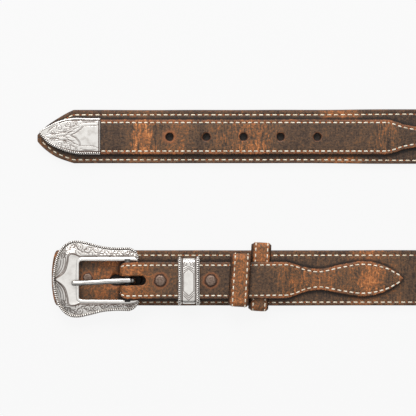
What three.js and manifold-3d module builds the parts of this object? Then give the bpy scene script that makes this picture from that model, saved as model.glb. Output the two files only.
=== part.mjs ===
// A ranger belt in millimetres, +Z up, lying face up with its two ends side by side.
// X runs along the straps from the tip's nose, Y is up the picture, and the far end stands on edge in a U turn.
import * as THREE from "three";
import { mergeVertices } from "three/addons/utils/BufferGeometryUtils.js";
import Module from "manifold-3d";

const wasm = await Module();
wasm.setup();
const { clamp, degToRad, lerp, smoothstep } = THREE.MathUtils;

// Clearance between pieces that lie on each other
const gap = 0.3;

// Base strap
const beltSize = 914; // from the buckle's bar to the middle hole
const baseWidth = 38.1;
const baseThickness = 3;
const baseTipLength = 25;
const baseNoseHalfWidth = 2.2;
const baseEndDepth = 4; // of the rounded buckle end
const baseEndReach = 1.5; // of that end past the buckle frame's edge
const runSpacing = 97.5; // between the centre lines of the two ends
const flatRun = 332; // from the nose to where the strap starts to turn on edge
const edgeChamfer = 0.5;

// Overlay on the tip end
const billetWidth = 24.2;
const billetThickness = 2.4;
const billetLength = 322;
const holeSpacing = 25.4;
const holeCount = 5;
const holeDiameter = 5.2;
const tipToMiddleHole = 142;
const billetBevel = 0.3; // of its rounded edges
const billetBevelHeight = 0.4;
const rangerLength = 80.6; // the waisted and pointed end of both overlays

// Metal tip
const capInset = 2.2; // from the base strap's nose
const capLength = 41.2;
const capWidth = 25;
const capWall = 0.9;
const capNoseHalfWidth = 1.2;
const capCurveLength = 25;
const capRimWidth = 1.7;
const capRimRise = 0.5;

// Overlay on the buckle end
const overlayWidth = 25.4;
const overlayThickness = 2.2;
const overlayPoint = 252; // from the nose to the ranger point
const overlayShift = 1.5; // the overlay's centre line lies this much off the base strap's
const pointShift = 0.4; // and this much at its point
const returnEnd = 127.5;
const returnClear = 1; // the front layer starts to come down this far past the return layer
const overlayFall = 18; // length in which it comes down past the keepers
const foldInnerRadius = 3.2;
const foldSlope = 19; // length in which the front layer comes down from the bar
const foldEase = 8; // and in which it flattens after that
const foldSlotLength = 12.7; // past the bar
const slotWidth = 6.5;

// Buckle frame
const barPlace = 62.5; // from the nose to the bar's axis
const barRadius = 2.4;
const frameReach = 51.2; // from the bar's axis to the frame's far edge
const frameHalfWidth = 26.6;
const armOverhang = 7.2;
const armHalfWidth = 21.9;
const windowReach = 33.4;
const windowClearance = 0.5;
const frameDrop = 1.5; // of the frame's underside below the bar's axis
const frameHeight = 5;
const rimWidth = 2.2;
const rimHeight = 2.4;
const lipWidth = 2.8;
const lipHeight = 2.8;

// Prong
const prongWidth = 4;
const prongThickness = 3.4;
const prongLength = 38.6; // from the bar's axis to the prong's end
const prongBevel = 0.5;
const prongSeatRise = 0.75; // of the prong's underside over the window's lip, where it lies on the rail

// Oblong slot in the base strap, under the bar
const baseSlotStart = 12.5; // before the bar
const baseSlotEnd = 9; // past the bar
const baseSlotWidth = 7.4;
const baseLining = 0.8; // thickness left beneath the slot

// Metal keeper
const metalKeeperPlace = 97;
const metalKeeperLength = 15;
const metalKeeperHalfWidth = 16.3;
const metalKeeperWall = 1;
const metalKeeperPlate = 1.2;
const metalKeeperShift = 2.2;
const metalKeeperRim = 2.2;
const metalKeeperRise = 0.5;

// Leather keepers
const keeperThickness = 1.5;
const narrowKeeperPlace = 139.6;
const narrowKeeperLength = 11.8;
const narrowKeeperHalfWidth = 18.1;
const narrowKeeperShift = 2;
const narrowKeeperSlant = degToRad(3.5);
const wideKeeperPlace = 153.6;
const wideKeeperLength = 11.3;
const wideKeeperHalfWidth = 23.5;
const wideKeeperShift = -0.8;
const wideKeeperSlant = degToRad(2.9);

// The base strap's rise over the wide keeper's lower leg
const liftMargin = 4; // clear of the keepers before it
const liftRunOut = 6; // past the wide keeper
const liftFall = 30; // length in which it comes down again

// Snaps and rivet
const snapPlaces = { snap_near_buckle: 84.9, snap_near_keepers: 119.6 };
const snapRadius = 3.7;
const snapHeight = 1.6;
const snapPostRadius = 1.6;
const snapFootRadius = 3;
const snapFootHeight = 0.8;
const rivetPlace = 34.6;
const rivetRadius = 3;
const rivetHeight = 1;
const rivetPostRadius = 1.3;
const rivetFootRadius = 2.5;
const rivetFootHeight = 0.8;

// Levels over the surface that the belt lies on
const seat = baseThickness + gap;
const returnLevel = seat + metalKeeperWall + gap;
const frontLevel = returnLevel + overlayThickness + gap;
const overKeeperLevel = seat + keeperThickness + gap;
const barHeight = seat + overlayThickness + foldInnerRadius;
const prongSeatHeight = lipHeight - frameDrop + prongSeatRise; // over the bar's axis
const keeperLift = keeperThickness + gap; // the wide keeper's lower leg lies under the base strap

// Places along the straps
const tipRow = runSpacing / 2;
const buckleRow = -runSpacing / 2;
const baseEnd = barPlace - frameReach - baseEndReach;
const middleHoleToEnd = beltSize + barPlace - baseEnd;
const strapLength = tipToMiddleHole + middleHoleToEnd;
const holeStart = tipToMiddleHole - ((holeCount - 1) / 2) * holeSpacing;
const overlayRow = buckleRow - overlayShift;
const liftStart = metalKeeperPlace + metalKeeperLength + liftMargin;
const liftTop = wideKeeperPlace - wideKeeperLength / 2 - liftMargin;
const liftEnd = wideKeeperPlace + wideKeeperLength / 2 + liftRunOut;
const liftFoot = liftEnd + liftFall;
const rangerStart = overlayPoint - rangerLength;

const leather = (color) => new THREE.MeshStandardMaterial({ color, roughness: 0.7, metalness: 0 });
const metal = (color) => new THREE.MeshStandardMaterial({ color, roughness: 0.3, metalness: 1 });
const umberLeather = leather(0x5e4636);
const rustLeather = leather(0xa8623a);
const silver = metal(0xc9c5bf);
const oldBronze = metal(0x8e7c76);

const along = new THREE.Vector3(1, 0, 0);
const aside = new THREE.Vector3(0, 1, 0);
const upward = new THREE.Vector3(0, 0, 1);

// Helpers: solids, skins over rings, and turned or upright prisms

function solidOf(geometry) {
  const bare = geometry.clone();
  bare.deleteAttribute("normal");
  bare.deleteAttribute("uv");
  const welded = mergeVertices(bare, 1e-4);
  const mesh = new wasm.Mesh({
    numProp: 3,
    vertProperties: new Float32Array(welded.attributes.position.array),
    triVerts: new Uint32Array(welded.index.array),
  });
  return new wasm.Manifold(mesh);
}

function geometryOf(solid) {
  const mesh = solid.getMesh();
  const geometry = new THREE.BufferGeometry();
  geometry.setAttribute("position", new THREE.BufferAttribute(new Float32Array(mesh.vertProperties), 3));
  geometry.setIndex(new THREE.BufferAttribute(new Uint32Array(mesh.triVerts), 1));
  return geometry;
}

// A closed skin over rings of points. The outline is the section, anticlockwise as seen from the far end.
function loft(rings, outline) {
  const count = outline.length;
  const index = [];
  for (let ring = 0; ring < rings.length - 1; ring += 1) {
    for (let side = 0; side < count; side += 1) {
      const here = ring * count + side;
      const next = ring * count + ((side + 1) % count);
      index.push(here, next, next + count, here, next + count, here + count);
    }
  }
  const last = (rings.length - 1) * count;
  for (const [i, j, k] of THREE.ShapeUtils.triangulateShape(outline, [])) {
    index.push(i, k, j, last + i, last + j, last + k);
  }
  const geometry = new THREE.BufferGeometry();
  const numbers = rings.flat().flatMap((point) => point.toArray());
  geometry.setAttribute("position", new THREE.Float32BufferAttribute(numbers, 3));
  geometry.setIndex(index);
  return geometry;
}

// A strap through stations, each with its centre, its across and up directions and its half width
function strap(stations, thickness) {
  const half = thickness / 2;
  const outlineAt = (halfWidth) => [
    new THREE.Vector2(halfWidth, half - edgeChamfer),
    new THREE.Vector2(halfWidth - edgeChamfer, half),
    new THREE.Vector2(edgeChamfer - halfWidth, half),
    new THREE.Vector2(-halfWidth, half - edgeChamfer),
    new THREE.Vector2(-halfWidth, edgeChamfer - half),
    new THREE.Vector2(edgeChamfer - halfWidth, -half),
    new THREE.Vector2(halfWidth - edgeChamfer, -half),
    new THREE.Vector2(halfWidth, edgeChamfer - half),
  ];
  const rings = stations.map(({ at, across, up, halfWidth }) =>
    outlineAt(halfWidth).map((point) => at.clone().addScaledVector(across, point.x).addScaledVector(up, point.y)),
  );
  return loft(rings, outlineAt(stations[0].halfWidth));
}

// A prism from an outline in plan, standing on the given height
function upright(shape, from, height, options = {}) {
  const geometry = new THREE.ExtrudeGeometry(shape, { depth: height, bevelEnabled: false, curveSegments: 6, ...options });
  return geometry.translate(0, 0, from);
}

// A prism from an outline in the YZ plane, running along X
function lengthwise(shape, length, options = {}) {
  const geometry = new THREE.ExtrudeGeometry(shape, { depth: length, bevelEnabled: false, curveSegments: 5, ...options });
  return geometry.applyMatrix4(new THREE.Matrix4().makeBasis(aside, upward, along));
}

function roundedOutline(left, right, bottom, top, radius) {
  const shape = new THREE.Shape();
  shape.absarc(right - radius, bottom + radius, radius, -Math.PI / 2, 0);
  shape.absarc(right - radius, top - radius, radius, 0, Math.PI / 2);
  shape.absarc(left + radius, top - radius, radius, Math.PI / 2, Math.PI);
  shape.absarc(left + radius, bottom + radius, radius, Math.PI, 1.5 * Math.PI);
  shape.closePath();
  return shape;
}

// A loop's section: a rounded outline with a rounded hole, the walls given for the sides, the foot and the top
function loopSection(halfWidth, bottom, top, { side, foot, head }) {
  const shape = roundedOutline(-halfWidth, halfWidth, bottom, top, Math.min(3, (top - bottom) / 2 - 0.01));
  const low = bottom + foot;
  const high = top - head;
  shape.holes.push(roundedOutline(side - halfWidth, halfWidth - side, low, high, Math.min(2, (high - low) / 2 - 0.01)));
  return shape;
}

// Turned pieces such as snaps: rows of radius and height, from the axis round to the axis
function turned(rows) {
  const profile = rows.map(([radius, height]) => new THREE.Vector2(radius, height));
  return new THREE.LatheGeometry(profile, 20).rotateX(Math.PI / 2);
}

function named(name, geometry, material) {
  const mesh = new THREE.Mesh(geometry, material);
  mesh.name = name;
  return mesh;
}

// How far the strap is raised by the wide keeper's lower leg
function liftAt(x) {
  const rise = smoothstep(x, liftStart, liftTop);
  const fall = smoothstep(x, liftEnd, liftFoot);
  return keeperLift * (rise - fall);
}

function liftGeometry(geometry) {
  const points = geometry.attributes.position;
  for (let i = 0; i < points.count; i += 1) {
    points.setZ(i, points.getZ(i) + liftAt(points.getX(i)));
  }
  return geometry;
}

// A pointed end in plan: places from the nose with their half widths, the flank pulled toward the given shares
function pointedEnd(length, noseHalfWidth, halfWidth, pullAlong, pullAcross, steps) {
  const flank = new THREE.QuadraticBezierCurve(
    new THREE.Vector2(0, noseHalfWidth),
    new THREE.Vector2(pullAlong * length, pullAcross * halfWidth),
    new THREE.Vector2(length, halfWidth),
  );
  return flank.getPoints(steps);
}

// The ranger end of both overlays from its point: share of the ranger length and share of the half width
const rangerShares = [
  [0, 0.05],
  [0.035, 0.24],
  [0.09, 0.49],
  [0.19, 0.8],
  [0.34, 0.965],
  [0.52, 0.81],
  [0.7, 0.59],
  [0.84, 0.69],
  [0.94, 0.9],
  [1, 1],
];

function rangerEnd(halfWidth) {
  const points = rangerShares.map(([place, half]) => new THREE.Vector2(place * rangerLength, half * halfWidth));
  return new THREE.SplineCurve(points).getPoints(27);
}

// Base strap: flat tip run, a twist on to its edge, the U turn, the twist back and the flat buckle run

function turnInUnits(steps) {
  const points = [new THREE.Vector2(0, 0)];
  for (let step = 0; step < steps; step += 1) {
    const heading = Math.PI * smoothstep((step + 0.5) / steps, 0, 1);
    const last = points[step];
    points.push(new THREE.Vector2(last.x + Math.cos(heading) / steps, last.y + Math.sin(heading) / steps));
  }
  return points;
}

function baseStation(place, row, heading, roll, halfWidth, lift = 0) {
  const left = new THREE.Vector3(Math.sin(heading), Math.cos(heading), 0);
  const height = (baseWidth / 2) * Math.sin(roll) + (baseThickness / 2) * Math.cos(roll) + lift;
  return {
    at: new THREE.Vector3(place, row, height),
    across: left.clone().multiplyScalar(Math.cos(roll)).addScaledVector(upward, -Math.sin(roll)),
    up: left.clone().multiplyScalar(Math.sin(roll)).addScaledVector(upward, Math.cos(roll)),
    halfWidth,
  };
}

function spread(from, to, count) {
  return Array.from({ length: count }, (_, i) => lerp(from, to, (i + 1) / count));
}

function baseStations() {
  const turnSteps = 34;
  const twistSteps = 20;
  const half = baseWidth / 2;
  const unitTurn = turnInUnits(turnSteps);
  const turnLength = runSpacing / unitTurn[turnSteps].y;
  const turnStart = (strapLength - turnLength + baseEnd) / 2;
  const rollAt = (place) => (Math.PI / 2) * smoothstep(place, flatRun, turnStart);
  const tip = pointedEnd(baseTipLength, baseNoseHalfWidth, half, 0.3, 0.656, 10);
  const stations = tip.map((point) => baseStation(point.x, tipRow, 0, 0, point.y));
  stations.push(baseStation(flatRun, tipRow, 0, 0, half));
  for (const place of spread(flatRun, turnStart, twistSteps)) {
    stations.push(baseStation(place, tipRow, 0, rollAt(place), half));
  }
  for (let step = 1; step <= turnSteps; step += 1) {
    const heading = Math.PI * smoothstep(step / turnSteps, 0, 1);
    const place = turnStart + unitTurn[step].x * turnLength;
    stations.push(baseStation(place, tipRow - unitTurn[step].y * turnLength, heading, Math.PI / 2, half));
  }
  for (const place of spread(turnStart, flatRun, twistSteps)) {
    stations.push(baseStation(place, buckleRow, Math.PI, rollAt(place), half));
  }
  const ramp = [liftFoot, ...spread(liftFoot, liftEnd, 7), liftTop, ...spread(liftTop, liftStart, 7)];
  for (const place of ramp) {
    stations.push(baseStation(place, buckleRow, Math.PI, 0, half, liftAt(place)));
  }
  for (const turn of [1.5, 1.1, 0.8, 0.55, 0.35, 0.18]) {
    const place = baseEnd + baseEndDepth * (1 - Math.cos(turn));
    stations.push(baseStation(place, buckleRow, Math.PI, 0, half * Math.sin(turn)));
  }
  return stations;
}

function makeBaseStrap() {
  const slot = roundedOutline(
    barPlace - baseSlotStart,
    barPlace + baseSlotEnd,
    overlayRow - baseSlotWidth / 2,
    overlayRow + baseSlotWidth / 2,
    baseSlotWidth / 2 - 0.01,
  );
  const hole = new THREE.Shape().absarc(rivetPlace, buckleRow, rivetPostRadius + gap, 0, 2 * Math.PI);
  const counterbore = new THREE.Shape().absarc(rivetPlace, buckleRow, rivetFootRadius + gap, 0, 2 * Math.PI);
  const cuts = [
    upright(slot, baseLining, baseThickness + 2),
    upright(hole, -1, baseThickness + 2),
    upright(counterbore, -1, 1 + rivetFootHeight + 2 * gap),
  ];
  let body = solidOf(strap(baseStations(), baseThickness));
  for (const cut of cuts) {
    body = body.subtract(solidOf(cut));
  }
  return named("base_strap", geometryOf(body), umberLeather);
}

// Overlay on the tip end: its nose lies inside the metal tip, its other end has the ranger shape

function makeBilletOverlay() {
  const half = billetWidth / 2;
  const innerHalf = capWidth / 2 - capWall - gap;
  const noseAt = capInset + capWall + gap;
  const capEnd = capInset + capLength;
  const nose = pointedEnd(capCurveLength, capNoseHalfWidth, innerHalf, 0.36, 0.85, 8);
  const ranger = rangerEnd(half).reverse();
  const upperSide = [
    ...nose.map((point) => new THREE.Vector2(noseAt + point.x, point.y)),
    new THREE.Vector2(capEnd + gap, innerHalf),
    new THREE.Vector2(capEnd + gap, half),
    ...ranger.map((point) => new THREE.Vector2(billetLength - point.x, point.y)),
  ];
  const lowerSide = upperSide.map((point) => new THREE.Vector2(point.x, -point.y)).reverse();
  const shape = new THREE.Shape([...lowerSide, ...upperSide].reverse());
  for (let i = 0; i < holeCount; i += 1) {
    const hole = new THREE.Path().absarc(holeStart + i * holeSpacing, 0, holeDiameter / 2, 0, 2 * Math.PI);
    shape.holes.push(hole);
  }
  const bevel = {
    bevelEnabled: true,
    bevelThickness: billetBevelHeight,
    bevelSize: billetBevel,
    bevelOffset: -billetBevel,
    bevelSegments: 1,
  };
  const geometry = upright(shape, seat + billetBevelHeight, billetThickness - 2 * billetBevelHeight, bevel);
  const mesh = named("billet_overlay", geometry, umberLeather);
  mesh.position.y = tipRow;
  return mesh;
}

// Metal tip: a shell over the overlay's nose, open below and at its straight end, with a rim round its edge

function capOutline(inset, end) {
  const flank = pointedEnd(capCurveLength, capNoseHalfWidth, capWidth / 2 - inset, 0.36, 0.85, 10);
  const upper = [...flank.map((point) => new THREE.Vector2(point.x + inset, point.y))];
  upper.push(new THREE.Vector2(end, capWidth / 2 - inset));
  const lower = upper.map((point) => new THREE.Vector2(point.x, -point.y));
  return [...lower, ...upper.reverse()];
}

function makeTipCap() {
  const roof = seat + billetThickness + gap;
  const plate = roof + capWall;
  const levels = [
    { inset: 0, height: seat },
    { inset: 0, height: plate - 0.3 },
    { inset: 0.2 * capRimWidth, height: plate + capRimRise },
    { inset: 0.75 * capRimWidth, height: plate + capRimRise },
    { inset: capRimWidth, height: plate },
  ];
  const outline = capOutline(0, capLength);
  const rings = levels.map(({ inset, height }) =>
    capOutline(inset, capLength).map((point) => new THREE.Vector3(point.x, point.y, height)),
  );
  const inside = upright(new THREE.Shape(capOutline(capWall, capLength + 5)), seat - 1, roof - seat + 1);
  const body = solidOf(loft(rings, outline)).subtract(solidOf(inside));
  const mesh = named("tip_cap", geometryOf(body), silver);
  mesh.position.set(capInset, tipRow, 0);
  return mesh;
}

// Overlay on the buckle end: front layer from the ranger point to the bar, the fold, and the return layer

function overlayStations() {
  const halfThick = overlayThickness / 2;
  const foldRadius = foldInnerRadius + halfThick;
  const foldFoot = barPlace + foldSlope;
  const leftward = aside.clone().negate();
  const frontAt = (x) => {
    const overKeepers = (overKeeperLevel - seat) * (1 - smoothstep(x, liftEnd, liftEnd + overlayFall));
    const overReturn = (frontLevel - overKeeperLevel) * (1 - smoothstep(x, returnEnd + returnClear, liftTop + liftMargin));
    const overBar = (barHeight + foldInnerRadius - frontLevel) * (1 - smoothstep(x, barPlace, foldFoot));
    return seat + overKeepers + overReturn + overBar + liftAt(x) + halfThick;
  };
  const foldBottom = barHeight - foldInnerRadius - overlayThickness;
  const backAt = (x) => lerp(foldBottom, returnLevel, smoothstep(x, barPlace, foldFoot)) + liftAt(x) + halfThick;
  const rowAt = (x) => buckleRow - lerp(overlayShift, pointShift, smoothstep(x, returnEnd, overlayPoint));
  const half = overlayWidth / 2;
  const line = rangerEnd(half).map((point) => ({ x: overlayPoint - point.x, halfWidth: point.y }));
  const frontPlaces = [
    ...spread(rangerStart, liftTop, 4),
    ...spread(liftTop, liftStart, 9),
    foldFoot + foldEase,
    ...spread(foldFoot, barPlace, 9),
  ];
  line.push(...frontPlaces.map((x) => ({ x, halfWidth: half })));
  const points = line.map(({ x, halfWidth }) => ({ at: new THREE.Vector3(x, rowAt(x), frontAt(x)), halfWidth }));
  for (const turn of spread(0, Math.PI, 10).slice(0, -1)) {
    const x = barPlace - foldRadius * Math.sin(turn);
    const at = new THREE.Vector3(x, overlayRow, barHeight + foldRadius * Math.cos(turn));
    points.push({ at, halfWidth: half });
  }
  for (const x of [barPlace, ...spread(barPlace, foldFoot, 6), liftStart, ...spread(liftStart, returnEnd, 3)]) {
    points.push({ at: new THREE.Vector3(x, rowAt(x), backAt(x)), halfWidth: half });
  }
  return points.map(({ at, halfWidth }, i) => {
    const before = points[Math.max(i - 1, 0)].at;
    const after = points[Math.min(i + 1, points.length - 1)].at;
    const travel = new THREE.Vector3(after.x - before.x, 0, after.z - before.z).normalize();
    return { at, across: leftward, up: travel.clone().cross(leftward), halfWidth };
  });
}

function makeBuckleOverlay() {
  const deep = barHeight + foldInnerRadius + 4;
  const slotHalf = slotWidth / 2;
  const slot = roundedOutline(
    barPlace - foldInnerRadius - 6,
    barPlace + foldSlotLength,
    overlayRow - slotHalf,
    overlayRow + slotHalf,
    slotHalf - 0.01,
  );
  let body = solidOf(strap(overlayStations(), overlayThickness)).subtract(solidOf(upright(slot, 0, deep)));
  for (const place of Object.values(snapPlaces)) {
    const hole = new THREE.Shape().absarc(place, overlayRow, snapPostRadius + gap, 0, 2 * Math.PI);
    body = body.subtract(solidOf(upright(hole, 0, deep)));
  }
  return named("buckle_overlay", geometryOf(body), umberLeather);
}

// Buckle frame: a band laid round a U, from one arm's end round the rail to the other, and the bar between the arms

// Outer edge as shares of the frame's reach and half width, inner edge as shares of the window's
const frameShares = [
  { outerAlong: 0, outerAcross: 0.823, innerAlong: 0, innerAcross: 1 },
  { outerAlong: 0.16, outerAcross: 0.82, innerAlong: 0.22, innerAcross: 1 },
  { outerAlong: 0.33, outerAcross: 0.85, innerAlong: 0.48, innerAcross: 1 },
  { outerAlong: 0.5, outerAcross: 0.93, innerAlong: 0.7, innerAcross: 1 },
  { outerAlong: 0.65, outerAcross: 0.992, innerAlong: 0.86, innerAcross: 1 },
  { outerAlong: 0.75, outerAcross: 0.99, innerAlong: 0.95, innerAcross: 0.99 },
  { outerAlong: 0.83, outerAcross: 0.93, innerAlong: 0.985, innerAcross: 0.95 },
  { outerAlong: 0.895, outerAcross: 0.81, innerAlong: 1, innerAcross: 0.86 },
  { outerAlong: 0.945, outerAcross: 0.63, innerAlong: 1, innerAcross: 0.62 },
  { outerAlong: 0.98, outerAcross: 0.36, innerAlong: 1, innerAcross: 0.34 },
  { outerAlong: 1, outerAcross: 0, innerAlong: 1, innerAcross: 0 },
];

function frameEdges() {
  const windowHalf = overlayWidth / 2 + windowClearance;
  const middle = lerp(windowHalf, armHalfWidth, 0.4);
  const rows = [];
  for (const turn of [0.3, 0.6, 0.95, 1.3]) {
    const place = armOverhang * Math.cos(turn - 0.3);
    const open = Math.sin(turn);
    rows.push({
      outer: new THREE.Vector3(place, lerp(middle, armHalfWidth, open), 0),
      inner: new THREE.Vector3(place, lerp(middle, windowHalf, open), 0),
      fullness: open,
    });
  }
  for (const { outerAlong, outerAcross, innerAlong, innerAcross } of frameShares) {
    rows.push({
      outer: new THREE.Vector3(-outerAlong * frameReach, outerAcross * frameHalfWidth, 0),
      inner: new THREE.Vector3(-innerAlong * windowReach, innerAcross * windowHalf, 0),
      fullness: 1,
    });
  }
  const mirrored = rows.slice(0, -1).map(({ outer, inner, fullness }) => ({
    outer: new THREE.Vector3(outer.x, -outer.y, 0),
    inner: new THREE.Vector3(inner.x, -inner.y, 0),
    fullness,
  }));
  return [...rows, ...mirrored.reverse()];
}

// The band's section: distance in from the outer edge and height over the underside
function frameSection(width, fullness) {
  const squeeze = clamp(width / (rimWidth + lipWidth + 1.5), 0, 1);
  const rim = rimWidth * squeeze;
  const lip = lipWidth * squeeze;
  const crest = lerp(width - lip, rim, 0.55);
  const rise = lerp(0.5, 1, fullness);
  const crestHeight = Math.min(frameHeight, lipHeight + 0.3 * (width - rim - lip)) * rise;
  const low = frameDrop * (1 - fullness);
  return [
    new THREE.Vector2(0.4 * squeeze, low),
    new THREE.Vector2(width - 0.2 * squeeze, low),
    new THREE.Vector2(width, lipHeight * rise - 0.4),
    new THREE.Vector2(width - 0.3 * squeeze, lipHeight * rise),
    new THREE.Vector2(width - lip, lipHeight * rise),
    new THREE.Vector2(crest, crestHeight),
    new THREE.Vector2(rim, rimHeight * rise - 0.4),
    new THREE.Vector2(rim * 0.75, rimHeight * rise),
    new THREE.Vector2(rim * 0.3, rimHeight * rise),
    new THREE.Vector2(0, rimHeight * rise * 0.6),
  ];
}

function makeBuckleFrame() {
  const edges = frameEdges();
  const steps = 2 * (edges.length - 1);
  const outerCurve = new THREE.CatmullRomCurve3(edges.map(({ outer }) => outer));
  const innerCurve = new THREE.CatmullRomCurve3(edges.map(({ inner }) => inner));
  const fullCurve = new THREE.CatmullRomCurve3(edges.map(({ fullness }) => new THREE.Vector3(fullness, 0, 0)));
  const rings = [];
  let section;
  for (let step = 0; step <= steps; step += 1) {
    const outer = outerCurve.getPoint(step / steps);
    const inner = innerCurve.getPoint(step / steps);
    const inward = inner.clone().sub(outer);
    const width = inward.length();
    inward.normalize();
    section = frameSection(width, clamp(fullCurve.getPoint(step / steps).x, 0, 1));
    rings.push(section.map(({ x, y }) => outer.clone().addScaledVector(inward, x).setZ(y - frameDrop)));
  }
  const barHalf = overlayWidth / 2 + windowClearance + 2;
  const bar = new THREE.CylinderGeometry(barRadius, barRadius, 2 * barHalf, 16);
  const body = solidOf(loft(rings, section)).add(solidOf(bar));
  return named("buckle_frame", geometryOf(body), silver);
}

// Prong: drawn from the side with its loop round the bar
function makeBuckleProng() {
  const hole = barRadius + gap;
  const ring = hole + prongThickness;
  const tipTop = prongSeatHeight + 2.9;
  const meet = Math.PI - Math.asin(prongSeatHeight / ring) - 0.12;
  const shape = new THREE.Shape();
  shape.moveTo(-ring * Math.cos(Math.PI - meet), ring * Math.sin(meet));
  shape.absarc(0, 0, ring, meet, meet + 2 * Math.PI - (meet - Math.PI / 2));
  shape.lineTo(-prongLength * 0.5, ring - 0.6);
  shape.lineTo(-prongLength + 2.5, tipTop);
  shape.quadraticCurveTo(-prongLength, tipTop, -prongLength, prongSeatHeight + 1.2);
  shape.quadraticCurveTo(-prongLength, prongSeatHeight, -prongLength + 1.6, prongSeatHeight);
  shape.lineTo(-windowReach, prongSeatHeight);
  shape.closePath();
  shape.holes.push(new THREE.Path().absarc(0, 0, hole, 0, 2 * Math.PI));
  const geometry = new THREE.ExtrudeGeometry(shape, {
    depth: prongWidth - 2 * prongBevel,
    curveSegments: 16,
    bevelEnabled: true,
    bevelThickness: prongBevel,
    bevelSize: prongBevel,
    bevelOffset: -prongBevel,
    bevelSegments: 1,
  });
  geometry.applyMatrix4(new THREE.Matrix4().makeBasis(along, upward, aside.clone().negate()));
  geometry.translate(0, prongWidth / 2 - prongBevel, 0);
  return named("buckle_prong", geometry, silver);
}

// The buckle hangs on its bar, its rail resting on the base strap
function makeBuckle() {
  const buckle = new THREE.Group();
  buckle.position.set(barPlace, overlayRow, barHeight);
  buckle.rotation.y = -Math.asin((barHeight - frameDrop - seat) / frameReach);
  buckle.add(makeBuckleFrame(), makeBuckleProng());
  return buckle;
}

// Keepers

function makeMetalKeeper() {
  const bottom = seat;
  const top = frontLevel + overlayThickness + gap + metalKeeperPlate;
  const walls = { side: metalKeeperWall, foot: metalKeeperWall, head: metalKeeperPlate };
  const grown = {
    side: metalKeeperWall + metalKeeperRise,
    foot: metalKeeperWall,
    head: metalKeeperPlate + metalKeeperRise,
  };
  const half = metalKeeperHalfWidth - metalKeeperRise;
  const rimSection = loopSection(metalKeeperHalfWidth, bottom, top + metalKeeperRise, grown);
  let body = solidOf(lengthwise(loopSection(half, bottom, top, walls), metalKeeperLength));
  for (const start of [0, metalKeeperLength - metalKeeperRim]) {
    body = body.add(solidOf(lengthwise(rimSection, metalKeeperRim).translate(start, 0, 0)));
  }
  const mesh = named("metal_keeper", geometryOf(body), silver);
  mesh.position.set(metalKeeperPlace, buckleRow - metalKeeperShift, 0);
  return mesh;
}

function makeNarrowKeeper() {
  const walls = { side: keeperThickness, foot: keeperThickness, head: keeperThickness };
  const top = frontLevel + overlayThickness + gap + keeperThickness;
  const section = loopSection(narrowKeeperHalfWidth, seat, top, walls);
  const geometry = lengthwise(section, narrowKeeperLength, { steps: 4 });
  geometry.translate(-narrowKeeperLength / 2, 0, 0).rotateZ(-narrowKeeperSlant);
  geometry.translate(narrowKeeperPlace, buckleRow - narrowKeeperShift, 0);
  return named("leather_keeper_narrow", liftGeometry(geometry), rustLeather);
}

function makeWideKeeper() {
  const walls = { side: keeperThickness, foot: keeperThickness, head: keeperThickness };
  const top = keeperLift + seat + keeperThickness;
  const section = loopSection(wideKeeperHalfWidth, 0, top, walls);
  const geometry = lengthwise(section, wideKeeperLength, { steps: 1 });
  geometry.translate(-wideKeeperLength / 2, 0, 0).rotateZ(-wideKeeperSlant);
  const mesh = named("leather_keeper_wide", geometry, rustLeather);
  mesh.position.set(wideKeeperPlace, buckleRow - wideKeeperShift, 0);
  return mesh;
}

// Snaps through both layers of the overlay, and the rivet through the base strap

function makeSnap(name, place) {
  const footBottom = returnLevel - gap - snapFootHeight;
  const capBottom = frontLevel + overlayThickness + gap;
  const geometry = turned([
    [0, footBottom],
    [snapFootRadius, footBottom],
    [snapFootRadius, footBottom + snapFootHeight],
    [snapPostRadius, footBottom + snapFootHeight],
    [snapPostRadius, capBottom],
    [snapRadius, capBottom],
    [snapRadius, capBottom + 0.4 * snapHeight],
    [0.85 * snapRadius, capBottom + 0.75 * snapHeight],
    [0.5 * snapRadius, capBottom + 0.97 * snapHeight],
    [0, capBottom + snapHeight],
  ]);
  const mesh = named(name, geometry, oldBronze);
  mesh.position.set(place, overlayRow, liftAt(place));
  return mesh;
}

function makeBaseRivet() {
  const geometry = turned([
    [0, gap],
    [rivetFootRadius, gap],
    [rivetFootRadius, gap + rivetFootHeight],
    [rivetPostRadius, gap + rivetFootHeight],
    [rivetPostRadius, seat],
    [rivetRadius, seat],
    [rivetRadius, seat + 0.4 * rivetHeight],
    [0.75 * rivetRadius, seat + 0.85 * rivetHeight],
    [0, seat + rivetHeight],
  ]);
  const mesh = named("base_rivet", geometry, oldBronze);
  mesh.position.set(rivetPlace, buckleRow, 0);
  return mesh;
}

// The belt, moved so that its origin is the middle of its footprint

const belt = new THREE.Group();
belt.add(makeBaseStrap(), makeBilletOverlay(), makeTipCap(), makeBuckleOverlay(), makeBuckle());
belt.add(makeMetalKeeper(), makeNarrowKeeper(), makeWideKeeper(), makeBaseRivet());
for (const [name, place] of Object.entries(snapPlaces)) {
  belt.add(makeSnap(name, place));
}
const box = new THREE.Box3().setFromObject(belt, true);
const middle = box.getCenter(new THREE.Vector3());
belt.position.set(-middle.x, -middle.y, -box.min.z);

export default belt;
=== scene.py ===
"""A ranger belt of distressed leather with silver fittings, lying face up with its two ends side by side."""

import math

import bmesh
import bpy
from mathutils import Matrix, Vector, kdtree, noise

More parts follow.
